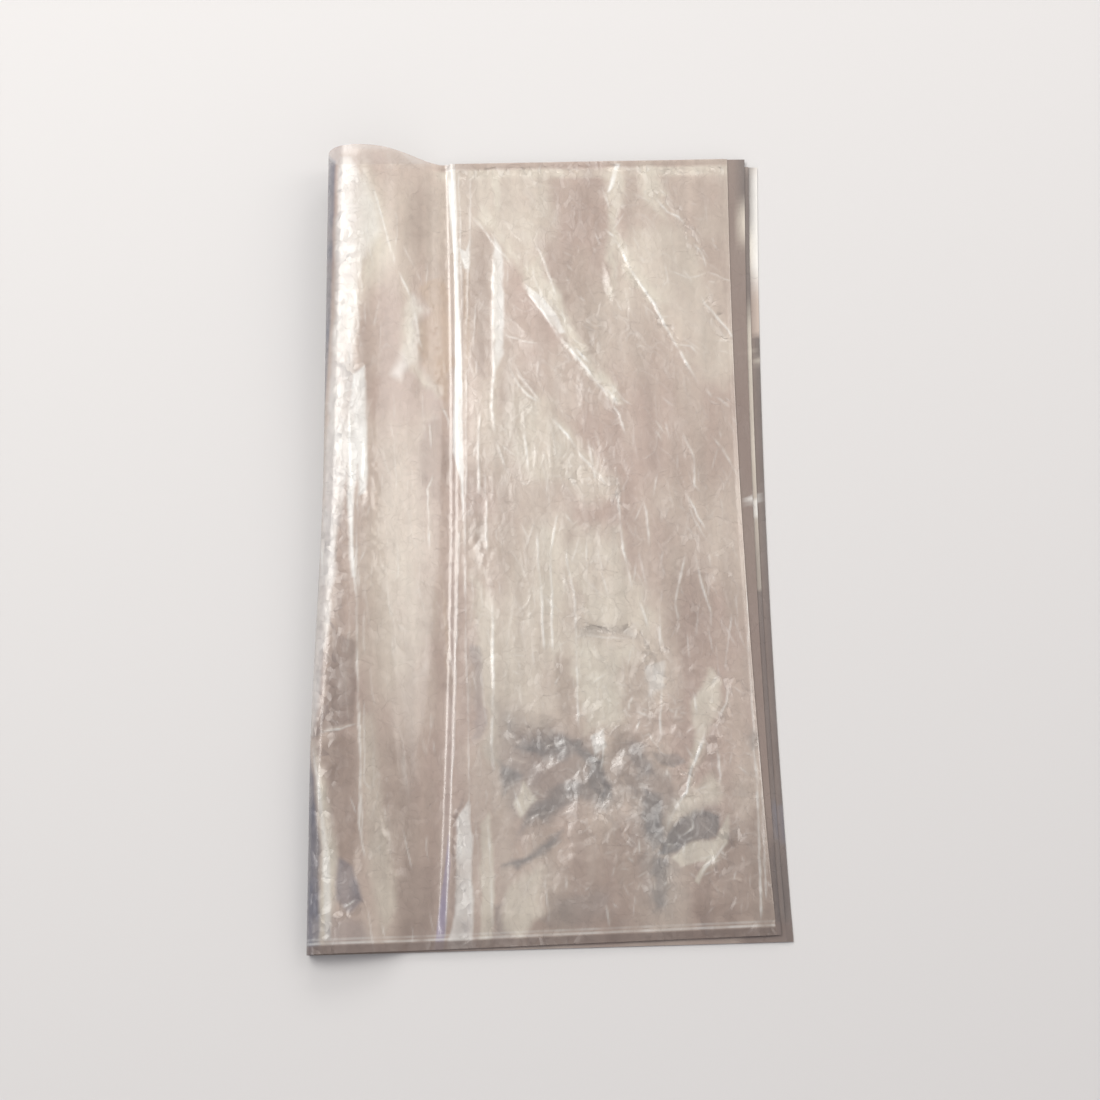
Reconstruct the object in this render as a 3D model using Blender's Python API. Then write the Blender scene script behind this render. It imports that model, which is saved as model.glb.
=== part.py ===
"""A clear plastic bag with side gussets, lying folded in half along its length.

The bag is one tube of blown film, with a gusset tucked into each side, a weld
across its bottom and an open mouth. It is folded once down its middle: the
fold stands up as a soft roll at -X, wider at the mouth than at the bottom, and
the four side creases lie in steps on each other at +X. The mouth is at +Y, the
weld at -Y, and the underside lies flat on z = 0.

The solid is a loft of closed sections, one for each station along Y. Going
round a section, the film is: upper wall, upper gusset (out and back), inner
wall, inner roll, inner wall, lower gusset (out and back), lower wall and
outer roll. Two skins half a film away on each side of that line meet at the
mouth's rim, and the bottom weld closes the space between them.
"""

import math

import bmesh
import bpy
from mathutils import Vector
from mathutils.geometry import tessellate_polygon

# Overall sizes of the folded bag, in metres.
LENGTH = 0.4018
WIDTH = 0.226

# The film, drawn thicker than the real one so that it is a solid wall.
FILM = 0.0003
PLY_GAP = 0.00035
WELD_WIDTH = 0.0045

# The soft roll along the fold: its height, and the air between its two walls.
ROLL_HEIGHT_MOUTH = 0.0267
ROLL_HEIGHT_BOTTOM = 0.0088
ROLL_AIR_MOUTH = 0.0046
ROLL_AIR_BOTTOM = 0.0018
ROLL_SETBACK_MOUTH = 0.0042
ROLL_FULL_AT = 0.2
ROLL_SET_AT = 0.6
OUTER_SHOULDER = 1.45
INNER_SHOULDER = 3.5
INNER_FOOT = 0.70

# How far each side crease lies in from the outermost one, bottom and mouth.
UPPER_WALL_INSET = (0.0078, 0.0157)
UPPER_INNER_INSET = (0.0056, 0.0066)
LOWER_INNER_INSET = (0.0030, 0.0046)
SIDE_BOW = 0.0040

# The gussets: depth from the upper inner wall's crease, and what lies beside.
# Half way along, the upper gusset's fold bows towards the side creases, and the
# lower one's bows back towards it, so that the two all but meet.
# Left of them the bag is four plies thick, and right of them it is eight.
GUSSET_DEPTH = (0.1552, 0.1509)
GUSSET_BOW = 0.0042
LOWER_GUSSET_OFFSET = (0.0112, 0.0084)
LOWER_GUSSET_BOW = 0.0064
LONG_CREASE_OFFSET = (0.0100, 0.0130)
LONG_CREASE_BOW = 0.0014
STEP_WIDTH = 0.0040
STEP_CLEARANCE = 0.0010

# How far each corner of the two halves stands back from the overall length.
UPPER_SIDE_BOTTOM = 0.0065
LOWER_SIDE_BOTTOM = 0.0032
LOWER_SIDE_MOUTH = 0.0040
ROLL_MOUTH = 0.0012

# The creases and the loose swell of the upper wall.
RIDGE_WIDTH = 0.0015
RIDGE_HEIGHT = 0.0013
LOWER_RIDGE_HEIGHT = 0.0009
LONG_CREASE_HEIGHT = 0.0008
SWELL_HEIGHT = 0.0011
SWELL_LENGTH = 0.118
SWELL_SPAN = 0.052
SWELL_SLANT = 0.55
SWELL_LEAN = 0.2
SWELL_PHASE = 1.3
SWELL_FADE = 0.018

# Two creases slant across the upper wall: how far each end of them, the upper
# one first, lies from the mouth and from the long crease or the side crease.
FIRST_SLANT_FROM_MOUTH = (0.061, 0.179)
FIRST_SLANT_FROM_LONG_CREASE = (0.011, 0.061)
SECOND_SLANT_FROM_MOUTH = (0.036, 0.125)
SECOND_SLANT_FROM_SIDE = (0.066, 0.023)
SLANT_WIDTH = 0.0030
SLANT_HEIGHT = 0.0012
SLANT_FADE = 0.025

# The crumpled stretch of the upper wall, by its lower outer corner.
CRUMPLE_HEIGHT = 0.0010
CRUMPLE_ACROSS = 0.021
CRUMPLE_ALONG = 0.033
CRUMPLE_REACH = 0.140
CRUMPLE_FADE = 0.030

# How finely the loft is divided.
STATIONS = 39
SLOPE_COLUMNS = 8
FIELD_COLUMNS = 4
ROLL_STEPS = 9
INNER_STEPS = 6

PITCH = FILM + PLY_GAP

FILM_COLOUR = (0.72, 0.62, 0.55, 1.0)


def clear_scene():
    """Remove everything that an empty file starts with."""
    for item in list(bpy.data.objects):
        bpy.data.objects.remove(item, do_unlink=True)


def level(ply):
    """Height of the middle of a ply, counted from the lowest one."""
    return FILM / 2 + ply * PITCH


def blend(ends, along):
    """A value between the bottom's and the mouth's."""
    return ends[0] + (ends[1] - ends[0]) * along


def smooth(value):
    """Ease from 0 to 1, flat at both ends."""
    value = min(max(value, 0.0), 1.0)
    return value * value * (3.0 - 2.0 * value)


def bow(depth, along):
    """A bow that is deepest half way along and dies away at both ends."""
    return depth * 4.0 * along * (1.0 - along)


def side_edge(along):
    """The outermost side crease, drawn in a little half way along."""
    return WIDTH / 2 - FILM / 2 - bow(SIDE_BOW, along)


def roll_edge(along):
    """The outer face of the roll, at the left of the section."""
    eased = smooth((along - ROLL_FULL_AT) / (ROLL_SET_AT - ROLL_FULL_AT))
    return -WIDTH / 2 + ROLL_SETBACK_MOUTH * eased


def upper_gusset_fold(along):
    """Where the upper gusset turns back, deep inside the bag."""
    crease = WIDTH / 2 - FILM / 2 - blend(UPPER_INNER_INSET, along)
    return crease - blend(GUSSET_DEPTH, along) + bow(GUSSET_BOW, along)


def lower_gusset_fold(along):
    """Where the lower gusset turns back."""
    offset = blend(LOWER_GUSSET_OFFSET, along) - bow(LOWER_GUSSET_BOW, along)
    return upper_gusset_fold(along) + offset


def long_crease(along):
    """The long crease that runs beside the gussets in the upper wall."""
    offset = blend(LONG_CREASE_OFFSET, along) + bow(LONG_CREASE_BOW, along)
    return lower_gusset_fold(along) + offset


def side_fold(edge, upper, lower):
    """A crease that turns the film from one ply to the next, opening to -X."""
    turn = abs(level(upper) - level(lower)) / 2
    middle = (level(upper) + level(lower)) / 2
    return [(edge - turn, level(upper)), (edge, middle), (edge - turn, level(lower))]


def gusset_fold(edge, upper, lower):
    """A gusset's inner crease, opening to +X."""
    turn = abs(level(upper) - level(lower)) / 2
    middle = (level(upper) + level(lower)) / 2
    return [(edge + turn, level(upper)), (edge, middle), (edge + turn, level(lower))]


def shoulder(start, end, high, low, fullness, steps):
    """Points down a soft slope from a high crest to a low foot."""
    points = []
    for step in range(steps):
        share = step / steps
        drop = smooth(share ** fullness)
        points.append((start + (end - start) * share, high + (low - high) * drop))
    return points


def roll_arc(left, low, high, radius, steps):
    """Points round the roll's closed side, from its crest down to its foot."""
    points = []
    for step in range(1, steps + 1):
        angle = math.pi * step / steps
        x = left + radius * (1.0 - math.sin(angle))
        z = (high + low) / 2 + (high - low) / 2 * math.cos(angle)
        points.append((x, z))
    return points


def slant_height(share, run):
    """A slanting crease rises and dies away again along its run."""
    ends = smooth(share * run / SLANT_FADE) * smooth((1.0 - share) * run / SLANT_FADE)
    return SLANT_HEIGHT * ends


def first_slant(along):
    """Where the first slanting crease crosses a section, and its height there."""
    near, far = FIRST_SLANT_FROM_MOUTH
    share = ((1.0 - along) * LENGTH - near) / (far - near)
    x = long_crease(along) + blend(FIRST_SLANT_FROM_LONG_CREASE, min(max(share, 0.0), 1.0))
    return x, slant_height(share, far - near)


def second_slant(along):
    """Where the second slanting crease crosses a section, and its height there."""
    near, far = SECOND_SLANT_FROM_MOUTH
    share = ((1.0 - along) * LENGTH - near) / (far - near)
    edge = side_edge(along) - blend(UPPER_WALL_INSET, along)
    x = edge - blend(SECOND_SLANT_FROM_SIDE, min(max(share, 0.0), 1.0))
    return x, slant_height(share, far - near)


def crumple(x, along):
    """Short facets that fade out towards the mouth and the long crease."""
    y = (along - 0.5) * LENGTH
    across = math.sin(2 * math.pi * (x / CRUMPLE_ACROSS + y / CRUMPLE_ALONG))
    up = math.sin(2 * math.pi * (x / CRUMPLE_ALONG - y / CRUMPLE_ACROSS))
    fade = smooth((CRUMPLE_REACH - along * LENGTH) / CRUMPLE_FADE)
    return CRUMPLE_HEIGHT * (1.0 + across * up) / 2.0 * fade


def swell(x, along):
    """The loose film of the upper wall, standing off the plies under it."""
    y = (along - 0.5) * LENGTH
    first = math.sin(2 * math.pi * (y + SWELL_SLANT * x) / SWELL_LENGTH)
    second = math.sin(2 * math.pi * (x - SWELL_LEAN * y) / SWELL_SPAN + SWELL_PHASE)
    height = SWELL_HEIGHT * (2.0 + first + second) / 4.0 + crumple(x, along)
    edge = side_edge(along) - blend(UPPER_WALL_INSET, along)
    near_edge = smooth((edge - x) / SWELL_FADE)
    near_weld = smooth((along * LENGTH - WELD_WIDTH) / SWELL_FADE)
    near_crease = smooth((x - long_crease(along)) / SWELL_FADE)
    return height * near_edge * near_weld * near_crease


def field(start, end, along):
    """Points of the loose film between two creases, without its ends."""
    places = [start + (end - start) * column / FIELD_COLUMNS for column in range(1, FIELD_COLUMNS)]
    return [(x, level(7) + swell(x, along)) for x in places]


def upper_wall(along, crest_x, crest_z):
    """Points of the upper wall, from the roll's crest to the side crease."""
    top = level(7)
    ridges = (
        (upper_gusset_fold(along), RIDGE_HEIGHT),
        (lower_gusset_fold(along), LOWER_RIDGE_HEIGHT),
        (long_crease(along), LONG_CREASE_HEIGHT),
    )
    foot = ridges[0][0] - STEP_CLEARANCE - STEP_WIDTH
    points = shoulder(crest_x, foot, crest_z, level(3), OUTER_SHOULDER, SLOPE_COLUMNS)
    points.append((foot, level(3)))
    points.append((ridges[0][0] - STEP_CLEARANCE, top))
    near_weld = smooth((along * LENGTH - WELD_WIDTH) / SWELL_FADE)
    for x, height in ridges:
        if x != ridges[0][0]:
            points.append((x - RIDGE_WIDTH, top))
        points.append((x, top + height * near_weld))
        points.append((x + RIDGE_WIDTH, top))
    start = ridges[-1][0] + RIDGE_WIDTH
    end = side_edge(along) - blend(UPPER_WALL_INSET, along)
    for x, height in (first_slant(along), second_slant(along)):
        points += field(start, x - SLANT_WIDTH, along)
        points.append((x - SLANT_WIDTH, top + swell(x - SLANT_WIDTH, along)))
        points.append((x, top + swell(x, along) + height))
        start = x + SLANT_WIDTH
        points.append((start, top + swell(start, along)))
    return points + field(start, end, along)


def film_line(along):
    """The middle of the film round one section, as (x, z, half) points.

    The last value says how far a point belongs to the upper half of the
    folded bag (1) or the lower half (0).
    """
    edge = side_edge(along)
    left = roll_edge(along) + FILM / 2
    crest = blend((ROLL_HEIGHT_BOTTOM, ROLL_HEIGHT_MOUTH), along) - FILM / 2
    radius = (crest - level(0)) / 2
    air = blend((ROLL_AIR_BOTTOM, ROLL_AIR_MOUTH), along) + FILM
    inner_crest = crest - air
    inner_radius = (inner_crest - level(1)) / 2
    inner_left = left + air
    foot = left + INNER_FOOT * (upper_gusset_fold(along) - left)
    step_end = upper_gusset_fold(along) - STEP_CLEARANCE
    step_start = step_end - STEP_WIDTH

    upper = upper_wall(along, left + radius, crest)
    upper += side_fold(edge - blend(UPPER_WALL_INSET, along), 7, 6)
    upper += gusset_fold(upper_gusset_fold(along), 6, 5)
    upper += side_fold(edge - blend(UPPER_INNER_INSET, along), 5, 4)
    slope = shoulder(
        inner_left + inner_radius, foot, inner_crest, level(2), INNER_SHOULDER, INNER_STEPS
    )
    upper += [(step_end, level(4)), (step_start, level(2)), (foot, level(2))]
    upper += reversed(slope)

    lower = roll_arc(inner_left, level(1), inner_crest, inner_radius, ROLL_STEPS)
    lower += [(step_start, level(1)), (step_end, level(3))]
    lower += side_fold(edge - blend(LOWER_INNER_INSET, along), 3, 2)
    lower += gusset_fold(lower_gusset_fold(along), 2, 1)
    lower += side_fold(edge, 1, 0)
    outer = roll_arc(left, level(0), crest, radius, ROLL_STEPS)
    outer.pop()
    lower.append((left + radius, level(0)))
    lower += reversed(outer)
    return [(x, z, 1) for x, z in upper] + [(x, z, 0) for x, z in lower]


def skin(points, distance):
    """The section moved sideways by a distance, mitred at each corner."""
    moved = []
    count = len(points)
    for index, (x, z, half) in enumerate(points):
        before = points[index - 1]
        after = points[(index + 1) % count]
        into = Vector((x - before[0], z - before[1])).normalized()
        out_of = Vector((after[0] - x, after[1] - z)).normalized()
        normal = Vector((-into.y - out_of.y, into.x + out_of.x)).normalized()
        mitre = max(normal.dot(Vector((-into.y, into.x))), 0.5)
        moved.append((x + normal.x * distance / mitre, z + normal.y * distance / mitre, half))
    return moved


def end_places(x, half, along):
    """Where the bottom edge and the mouth's rim lie at this point."""
    share = (x - roll_edge(along)) / (side_edge(along) - roll_edge(along))
    bottom = -LENGTH / 2 + share * (UPPER_SIDE_BOTTOM if half else LOWER_SIDE_BOTTOM)
    mouth_setback = (1.0 - share) * ROLL_MOUTH
    if not half:
        mouth_setback = ROLL_MOUTH + share * (LOWER_SIDE_MOUTH - ROLL_MOUTH)
    return bottom, LENGTH / 2 - mouth_setback


def add_skin(mesh, distance, start):
    """Loft one skin from the weld or the bottom edge to the mouth."""
    rows = []
    for station in range(STATIONS):
        along = station / (STATIONS - 1)
        row = []
        for x, z, half in skin(film_line(along), distance):
            bottom, mouth = end_places(x, half, along)
            y = bottom + start + (mouth - bottom - start) * along
            row.append(mesh.verts.new((x, y, z)))
        rows.append(row)
    return rows


def bridge(mesh, near, far, flip):
    """Join two rows of points with a band of faces."""
    count = len(near)
    for index in range(count):
        after = (index + 1) % count
        corners = [near[index], near[after], far[after], far[index]]
        if flip:
            corners.reverse()
        mesh.faces.new(corners)


def cap(mesh, row, flip):
    """Close the end of a skin across its own section."""
    flat = [Vector((vertex.co.x, vertex.co.z, 0.0)) for vertex in row]
    for corners in tessellate_polygon([flat]):
        first, second, third = (flat[index] for index in corners)
        turn = (second - first).cross(third - first).z
        order = list(corners) if (turn > 0) != flip else list(reversed(corners))
        mesh.faces.new([row[index] for index in order])


def make_bag(collection):
    """Loft the two skins, join them at the mouth and weld the bottom."""
    mesh = bmesh.new()
    outside = add_skin(mesh, FILM / 2, 0.0)
    inside = add_skin(mesh, -FILM / 2, WELD_WIDTH)
    for near, far in zip(outside, outside[1:]):
        bridge(mesh, near, far, flip=True)
    for near, far in zip(inside, inside[1:]):
        bridge(mesh, near, far, flip=False)
    bridge(mesh, outside[-1], inside[-1], flip=True)
    cap(mesh, outside[0], flip=False)
    cap(mesh, inside[0], flip=True)
    bmesh.ops.triangulate(mesh, faces=mesh.faces[:])
    bmesh.ops.recalc_face_normals(mesh, faces=mesh.faces[:])

    data = bpy.data.meshes.new("bag")
    mesh.to_mesh(data)
    mesh.free()
    bag = bpy.data.objects.new("bag", data)
    collection.objects.link(bag)
    return bag


def film_material():
    """Clear film, seen as eight plies lying on each other."""
    material = bpy.data.materials.new("clear_film")
    material.use_nodes = True
    shader = material.node_tree.nodes["Principled BSDF"]
    shader.inputs["Base Color"].default_value = FILM_COLOUR
    shader.inputs["Roughness"].default_value = 0.25
    shader.inputs["Metallic"].default_value = 0.0
    shader.inputs["Alpha"].default_value = 0.85
    return material


def main():
    clear_scene()
    collection = bpy.data.collections.new("plastic_bag")
    bpy.context.scene.collection.children.link(collection)
    bag = make_bag(collection)
    bag.data.materials.append(film_material())


main()
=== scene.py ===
"""Looks of a clear plastic bag with side gussets, lying folded in half.

The bag is one tube of blown film. Its plies are laid here as thin open sheets
along the lines of the solid bag: one over the rolled fold, two side by side
for the upper wall beside it, and one for all the plies underneath. The creases
are pressed into the upper three as real relief. Places on the bag that were
read from the camera's side are in millimetres on the plane that the bag lies
on, with x to the right and y towards the mouth.
"""

import math

import bpy
import numpy as np
from mathutils import Matrix, Vector


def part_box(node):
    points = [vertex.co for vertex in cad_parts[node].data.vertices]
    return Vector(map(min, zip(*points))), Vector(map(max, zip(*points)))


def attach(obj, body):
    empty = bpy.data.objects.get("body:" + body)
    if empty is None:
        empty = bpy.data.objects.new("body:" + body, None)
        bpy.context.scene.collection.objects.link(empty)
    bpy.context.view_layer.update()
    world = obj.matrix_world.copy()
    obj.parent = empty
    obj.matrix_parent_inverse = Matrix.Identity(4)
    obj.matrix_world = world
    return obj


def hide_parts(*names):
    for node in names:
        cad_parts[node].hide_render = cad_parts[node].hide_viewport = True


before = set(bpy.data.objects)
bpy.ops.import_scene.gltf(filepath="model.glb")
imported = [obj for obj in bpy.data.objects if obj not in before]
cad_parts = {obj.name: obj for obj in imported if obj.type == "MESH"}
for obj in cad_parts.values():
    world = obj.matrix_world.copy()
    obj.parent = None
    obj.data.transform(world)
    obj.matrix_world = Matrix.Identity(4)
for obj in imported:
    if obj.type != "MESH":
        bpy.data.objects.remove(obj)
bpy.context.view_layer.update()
BAG_LOW, BAG_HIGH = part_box("bag")

# The folded bag, as in the solid: film, roll, creases and gussets, in metres.
LENGTH = BAG_HIGH.y - BAG_LOW.y
WIDTH = BAG_HIGH.x - BAG_LOW.x
FILM = 0.0003
WELD_WIDTH = 0.0045
ROLL_HEIGHT = (0.0088, BAG_HIGH.z)
ROLL_AIR = (0.0018, 0.0046)
ROLL_SETBACK_MOUTH = 0.0042
ROLL_FULL_AT = 0.2
ROLL_SET_AT = 0.6
OUTER_SHOULDER = 1.45
INNER_SHOULDER = 3.5
INNER_FOOT = 0.70
UPPER_WALL_INSET = (0.0078, 0.0157)
UPPER_INNER_INSET = (0.0056, 0.0066)
LOWER_INNER_INSET = (0.0030, 0.0046)
SIDE_BOW = 0.0040
GUSSET_DEPTH = (0.1552, 0.1509)
GUSSET_BOW = 0.0042
LOWER_GUSSET_OFFSET = (0.0112, 0.0084)
LOWER_GUSSET_BOW = 0.0064
STEP_WIDTH = 0.0040
STEP_CLEARANCE = 0.0010
UPPER_SIDE_BOTTOM = 0.0065
LOWER_SIDE_BOTTOM = 0.0032
LOWER_SIDE_MOUTH = 0.0040
ROLL_MOUTH = 0.0012

# The sheets lie closer than the solid's plies, and closer still at the weld, where
# only a share of the gaps between them is left. There the lower and the upper half
# of the bag are pressed towards one level each, counted in plies. The roll is not.
PITCH = 0.00036
WELD_EASE = 0.011
WELD_PRESSED = 0.08
PRESSED_TO = (0.8, 4.0)
PINCH_RISE = 0.003

# How finely the sheets are divided.
ROWS = 720
UNDER_ROWS = 170
ARC_COLUMNS = 40
SLOPE_COLUMNS = 97
WALL_COLUMNS = 240
UNDER_FIELD_COLUMNS = 26
INNER_FIELD_COLUMNS = 10
INNER_SLOPE_COLUMNS = 24
INNER_ARC_COLUMNS = 30
LOWEST_PLY_COLUMNS = 40

# The crinkles in the film's finish: cells to the metre, and slope of a facet.
# Then how far they wander, in metres, how they are drawn out along the bag, and
# how fine the noises are that bend them and that make the gloss uneven.
MIDDLE_CELLS = 150.0
MIDDLE_SLOPE = 0.22
SMALL_CELLS = 420.0
SMALL_SLOPE = 0.60
CRINKLE_WANDER = (0.010, 0.010, 0.0)
CRINKLE_DRAWN = (1.0, 0.55, 0.0)
WANDER_SCALE = 110.0
GLOSS_SCALE = 38.0

# The film's finish, from its glossiest to its dullest places, and its clear coat.
ROUGHNESS = (0.28, 0.46)
FILM_IOR = 1.7
COAT = 0.8
COAT_ROUGHNESS = 0.18

# The camera, as the bag is seen: over its near end, looking down the bag.
CAMERA_AIM = Vector((0.00223, -0.0075, 0.0))
CAMERA_DISTANCE = 0.89904
CAMERA_TILT = math.radians(15.0)
CAMERA_ROLL = math.radians(-0.80)
CAMERA_LENS = 59.83
CAMERA_BACK = Vector((0.0, -math.sin(CAMERA_TILT), math.cos(CAMERA_TILT)))
CAMERA_AT = CAMERA_AIM + CAMERA_BACK * CAMERA_DISTANCE

# The room: bright low down, darker overhead, and bluish on the roll's side. Each
# change goes from one height, or one place towards that side, to another.
ROOM_LOW = (1.05, 1.0, 0.96, 1.0)
ROOM_OVERHEAD = (0.30, 0.29, 0.32, 1.0)
ROOM_ASIDE = (0.30, 0.32, 0.42, 1.0)
ROOM_RISE = (0.35, 0.90)
ROOM_TURN = (-0.2, -0.8)
FLOOR_COLOUR = (0.60, 0.59, 0.58, 1.0)
FLOOR_REACH = 4.0
FLOOR_DROP = 0.0002

# The softboxes: direction from the bag, distance, size, watts and colour. A broad
# one is on the roll's side, and weaker ones are opposite and past the mouth.
SOFTBOXES = {
    "key": ((-0.80, 0.60, 1.5), 1.8, (1.10, 1.20), 22.0, (1.0, 0.99, 0.95)),
    "fill": ((1.15, 0.45, 1.1), 1.65, (0.70, 1.0), 5.0, (1.0, 0.97, 0.94)),
    "far": ((0.10, 1.50, 0.75), 1.7, (1.6, 0.5), 12.0, (1.0, 0.98, 0.96)),
}

# Kinds of crease: height, width of the side that faces the roll, width of the
# other side and length over which it dies away, in millimetres. Then how strong
# the painted highlight along its edge is, partly the whitening of creased film, and
# how much painted milky sheen lies beside it.
KINDS = {
    "hair": (0.06, 0.7, 1.2, 5.0, 0.32, 0.0),
    "fine": (0.11, 0.8, 2.2, 8.0, 0.45, 0.32),
    "bold": (0.20, 1.0, 5.0, 14.0, 0.60, 0.50),
    "soft": (0.55, 5.0, 9.0, 22.0, 0.0, 0.0),
    "shade": (0.28, 6.0, 1.4, 10.0, 0.0, 0.20),
}

# The creases that the bag shows, nearly all of them from the end nearer the mouth.
CREASES = {
    "bold": [
        # The long crease.
        [(-24.5, 156), (-25, 120), (-25, 85), (-26, 68), (-24, 50)],
        [(-26, -30), (-26, -60), (-27, -100), (-26, -120)],
        # The two long slanting creases and their branches.
        [(-12, 136), (-4, 124), (3, 113), (8, 105), (14, 97), (20, 90), (25, 82), (30, 76), (36, 66)],
        [(36, 160), (41, 152), (46, 140), (50, 134), (57, 122), (62, 110), (68, 98), (72, 90), (80, 76)],
        [(3, 63), (12, 51), (20, 39), (28, 30), (33, 22)],
        [(15, 100), (20, 94), (25, 89)],
        [(31, 78), (38, 66)],
        [(76, -97), (72, -108), (68, -118), (66, -128), (60, -135), (54, -148)],
        [(85, -150), (80, -156), (73, -163), (69, -170)],
        [(-66, 124), (-63, 104), (-60, 95)],
    ],
    "fine": [
        [(-36, 172), (-28, 162), (-20, 151), (-14, 143)],
        [(-5, 158), (0, 150), (4, 137), (8, 124)],
        [(-5, 146), (-4, 137), (0, 125), (3, 115)],
        [(44, 174), (36, 161)],
        [(32, 164), (40, 157)],
        [(66, 100), (75, 98), (80, 92)],
        [(58, 182), (65, 173), (71, 170), (75, 164)],
        [(76, 157), (82, 150), (85, 138)],
        [(81, 128), (83, 121), (95, 106), (99, 100)],
        [(87, 115), (96, 105)],
        [(31, 190), (34, 183), (36, 172)],
        [(39, 195), (35, 182)],
        [(-20, 106), (-5, 101), (0, 100)],
        [(-18, 90), (-13, 79), (-8, 73), (0, 68)],
        [(-10, 55), (-9, 45), (-8, 35), (-6, 30)],
        [(22, 52), (24, 38), (26, 25)],
        [(33, 70), (38, 62), (41, 50)],
        [(35, 25), (37, 10), (38, -5), (40, -18), (43, -30)],
        [(47, 20), (50, 12), (51, -8)],
        [(69, 54), (75, 38), (74, 25), (78, 20)],
        [(82, 52), (88, 45), (94, 32), (97, 26)],
        [(69, 22), (72, 16), (76, 7), (80, 0)],
        [(87, 22), (88, 10), (87, 3)],
        [(8, 20), (6, 10), (4, 0), (3, -8), (3, -28), (3, -60)],
        [(-4, 3), (-2, -30), (-1, -60)],
        [(10, -5), (12, -20), (14, -35), (14, -55), (15, -100)],
        [(69, -8), (66, -20), (63, -35), (64, -48)],
        [(73, -10), (76, -25), (80, -38), (80, -50)],
        [(45, -32), (50, -50)],
        [(55, -35), (55, -60)],
        [(55, -75), (54, -103)],
        [(88, -75), (86, -85), (80, -95)],
        [(70, -78), (72, -92)],
        [(80, -105), (82, -120), (81, -128)],
        [(43, -102), (48, -100), (55, -110)],
        [(60, -150), (68, -145), (68, -138)],
        [(27, -98), (26, -109), (24, -120)],
        [(-18, -118), (-15, -130), (-12, -142)],
        [(-2, -166), (-1, -190)],
        [(26, -178), (28, -192)],
        [(-42, 152), (-38, 142)],
        [(-44, -135), (-41, -160)],
        [(-38, -162), (-36, -195)],
        [(-40, 100), (-33, 80)],
        [(-31.5, 66), (-33, 45), (-33, 18)],
        [(-24, 50), (-20, 38), (-18, 33)],
        [(-29, 22), (-29, 0), (-28, -12)],
        [(-29, -135), (-28, -160), (-27, -190)],
        [(-88, 192), (-82, 172), (-77, 150)],
        [(-74, 143), (-66, 124)],
        [(-52, 72), (-48, 60), (-48, 54)],
        [(-55, 33), (-58, 24), (-57.5, 15), (-57, 0), (-57.5, -12)],
        [(-97, 70), (-97, 50), (-95.5, 25), (-95, 0), (-94, -18), (-93, -30), (-92, -60), (-90, -95),
         (-90, -140), (-86, -160)],
        [(-91, 66), (-90, 45), (-89.5, 22)],
        [(-111, -98), (-100, -95), (-90, -93)],
        [(-109, 66), (-104, 55)],
        [(-111, 8), (-108, -28)],
        [(-90, -175), (-97, -180)],
        [(98.5, 20), (98, -40), (98.5, -100), (98.5, -190)],
    ],
    "hair": [
        # The gussets' two folds, beside each other down the bag.
        [(-42.5, 5), (-43, -30), (-44.5, -80), (-45.5, -110), (-46.5, -140), (-47.5, -160), (-49.3, -198)],
        [(-36.5, 201), (-36.5, 150), (-38.3, 140), (-38.5, 105), (-39.5, 0), (-39, -60), (-38, -100),
         (-37, -150)],
        # The others, most of them short.
        [(-90, 127), (-90, 110)],
        [(-82.5, 128), (-86, 110)],
        [(-77, 155), (-75, 145)],
        [(-57, 62), (-56, 45)],
        [(-88, -5), (-92, -13)],
        [(-87, 17), (-88, 10)],
        [(-88, -80), (-88, -120), (-83, -125)],
        [(-95, -125), (-91, -137)],
        [(-79, -186), (-77, -194)],
        [(-56, -86), (-56, -97)],
        [(-55, -100), (-54, -108)],
        [(-38, 98), (-31, 86)],
        [(-18, 90), (-12, 97)],
        [(-15, 87), (-8, 78), (0, 68)],
        [(63, 180), (70, 172)],
        [(63, 145), (65, 130)],
        [(64, 141), (75, 136), (85, 138)],
        [(88, 108), (93, 102)],
        [(61, 60), (63, 48)],
        [(69, 5), (74, -2)],
        [(20, 0), (20, -20)],
        [(25, -5), (28, -20)],
        [(58, -8), (57, -15), (59, -22)],
        [(68, -50), (69, -65)],
        [(90, -40), (88, -55), (86, -70)],
        [(5, -56), (18, -50), (30, -52), (42, -53)],
        [(100.5, 190), (101, 100), (101, 20), (101, -60), (101, -180)],
        [(-93, 40), (-93, -20), (-91, -90), (-88, -150)],
        [(-43, 201), (-41.5, 150), (-41, 66)],
    ],
    "soft": [
        [(36, 155), (36, 140), (36, 120)],
        [(-66, 126), (-64, 105), (-62, 82)],
        [(-36, 14), (-30, -10), (-24, -27)],
        [(-80, -128), (-78, -150), (-74, -165), (-73, -182)],
        [(-60, 95), (-54, 80), (-48, 66)],
        [(-88, 60), (-86, 10), (-84, -40)],
    ],
    "shade": [
        [(-51, -20), (-50, -40), (-47, -60), (-46, -75)],
        [(-16, -144), (-5, -138), (5, -136)],
        [(-28, -132), (-20, -142)],
        [(-10, -98), (5, -93)],
        [(-12, -105), (10, -103)],
        [(-20, -110), (-5, -115)],
        [(24, 18), (28, 10)],
        [(47, -160), (50, -180)],
        [(-57, 128), (-52, 100), (-49, 80)],
    ],
}

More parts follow.
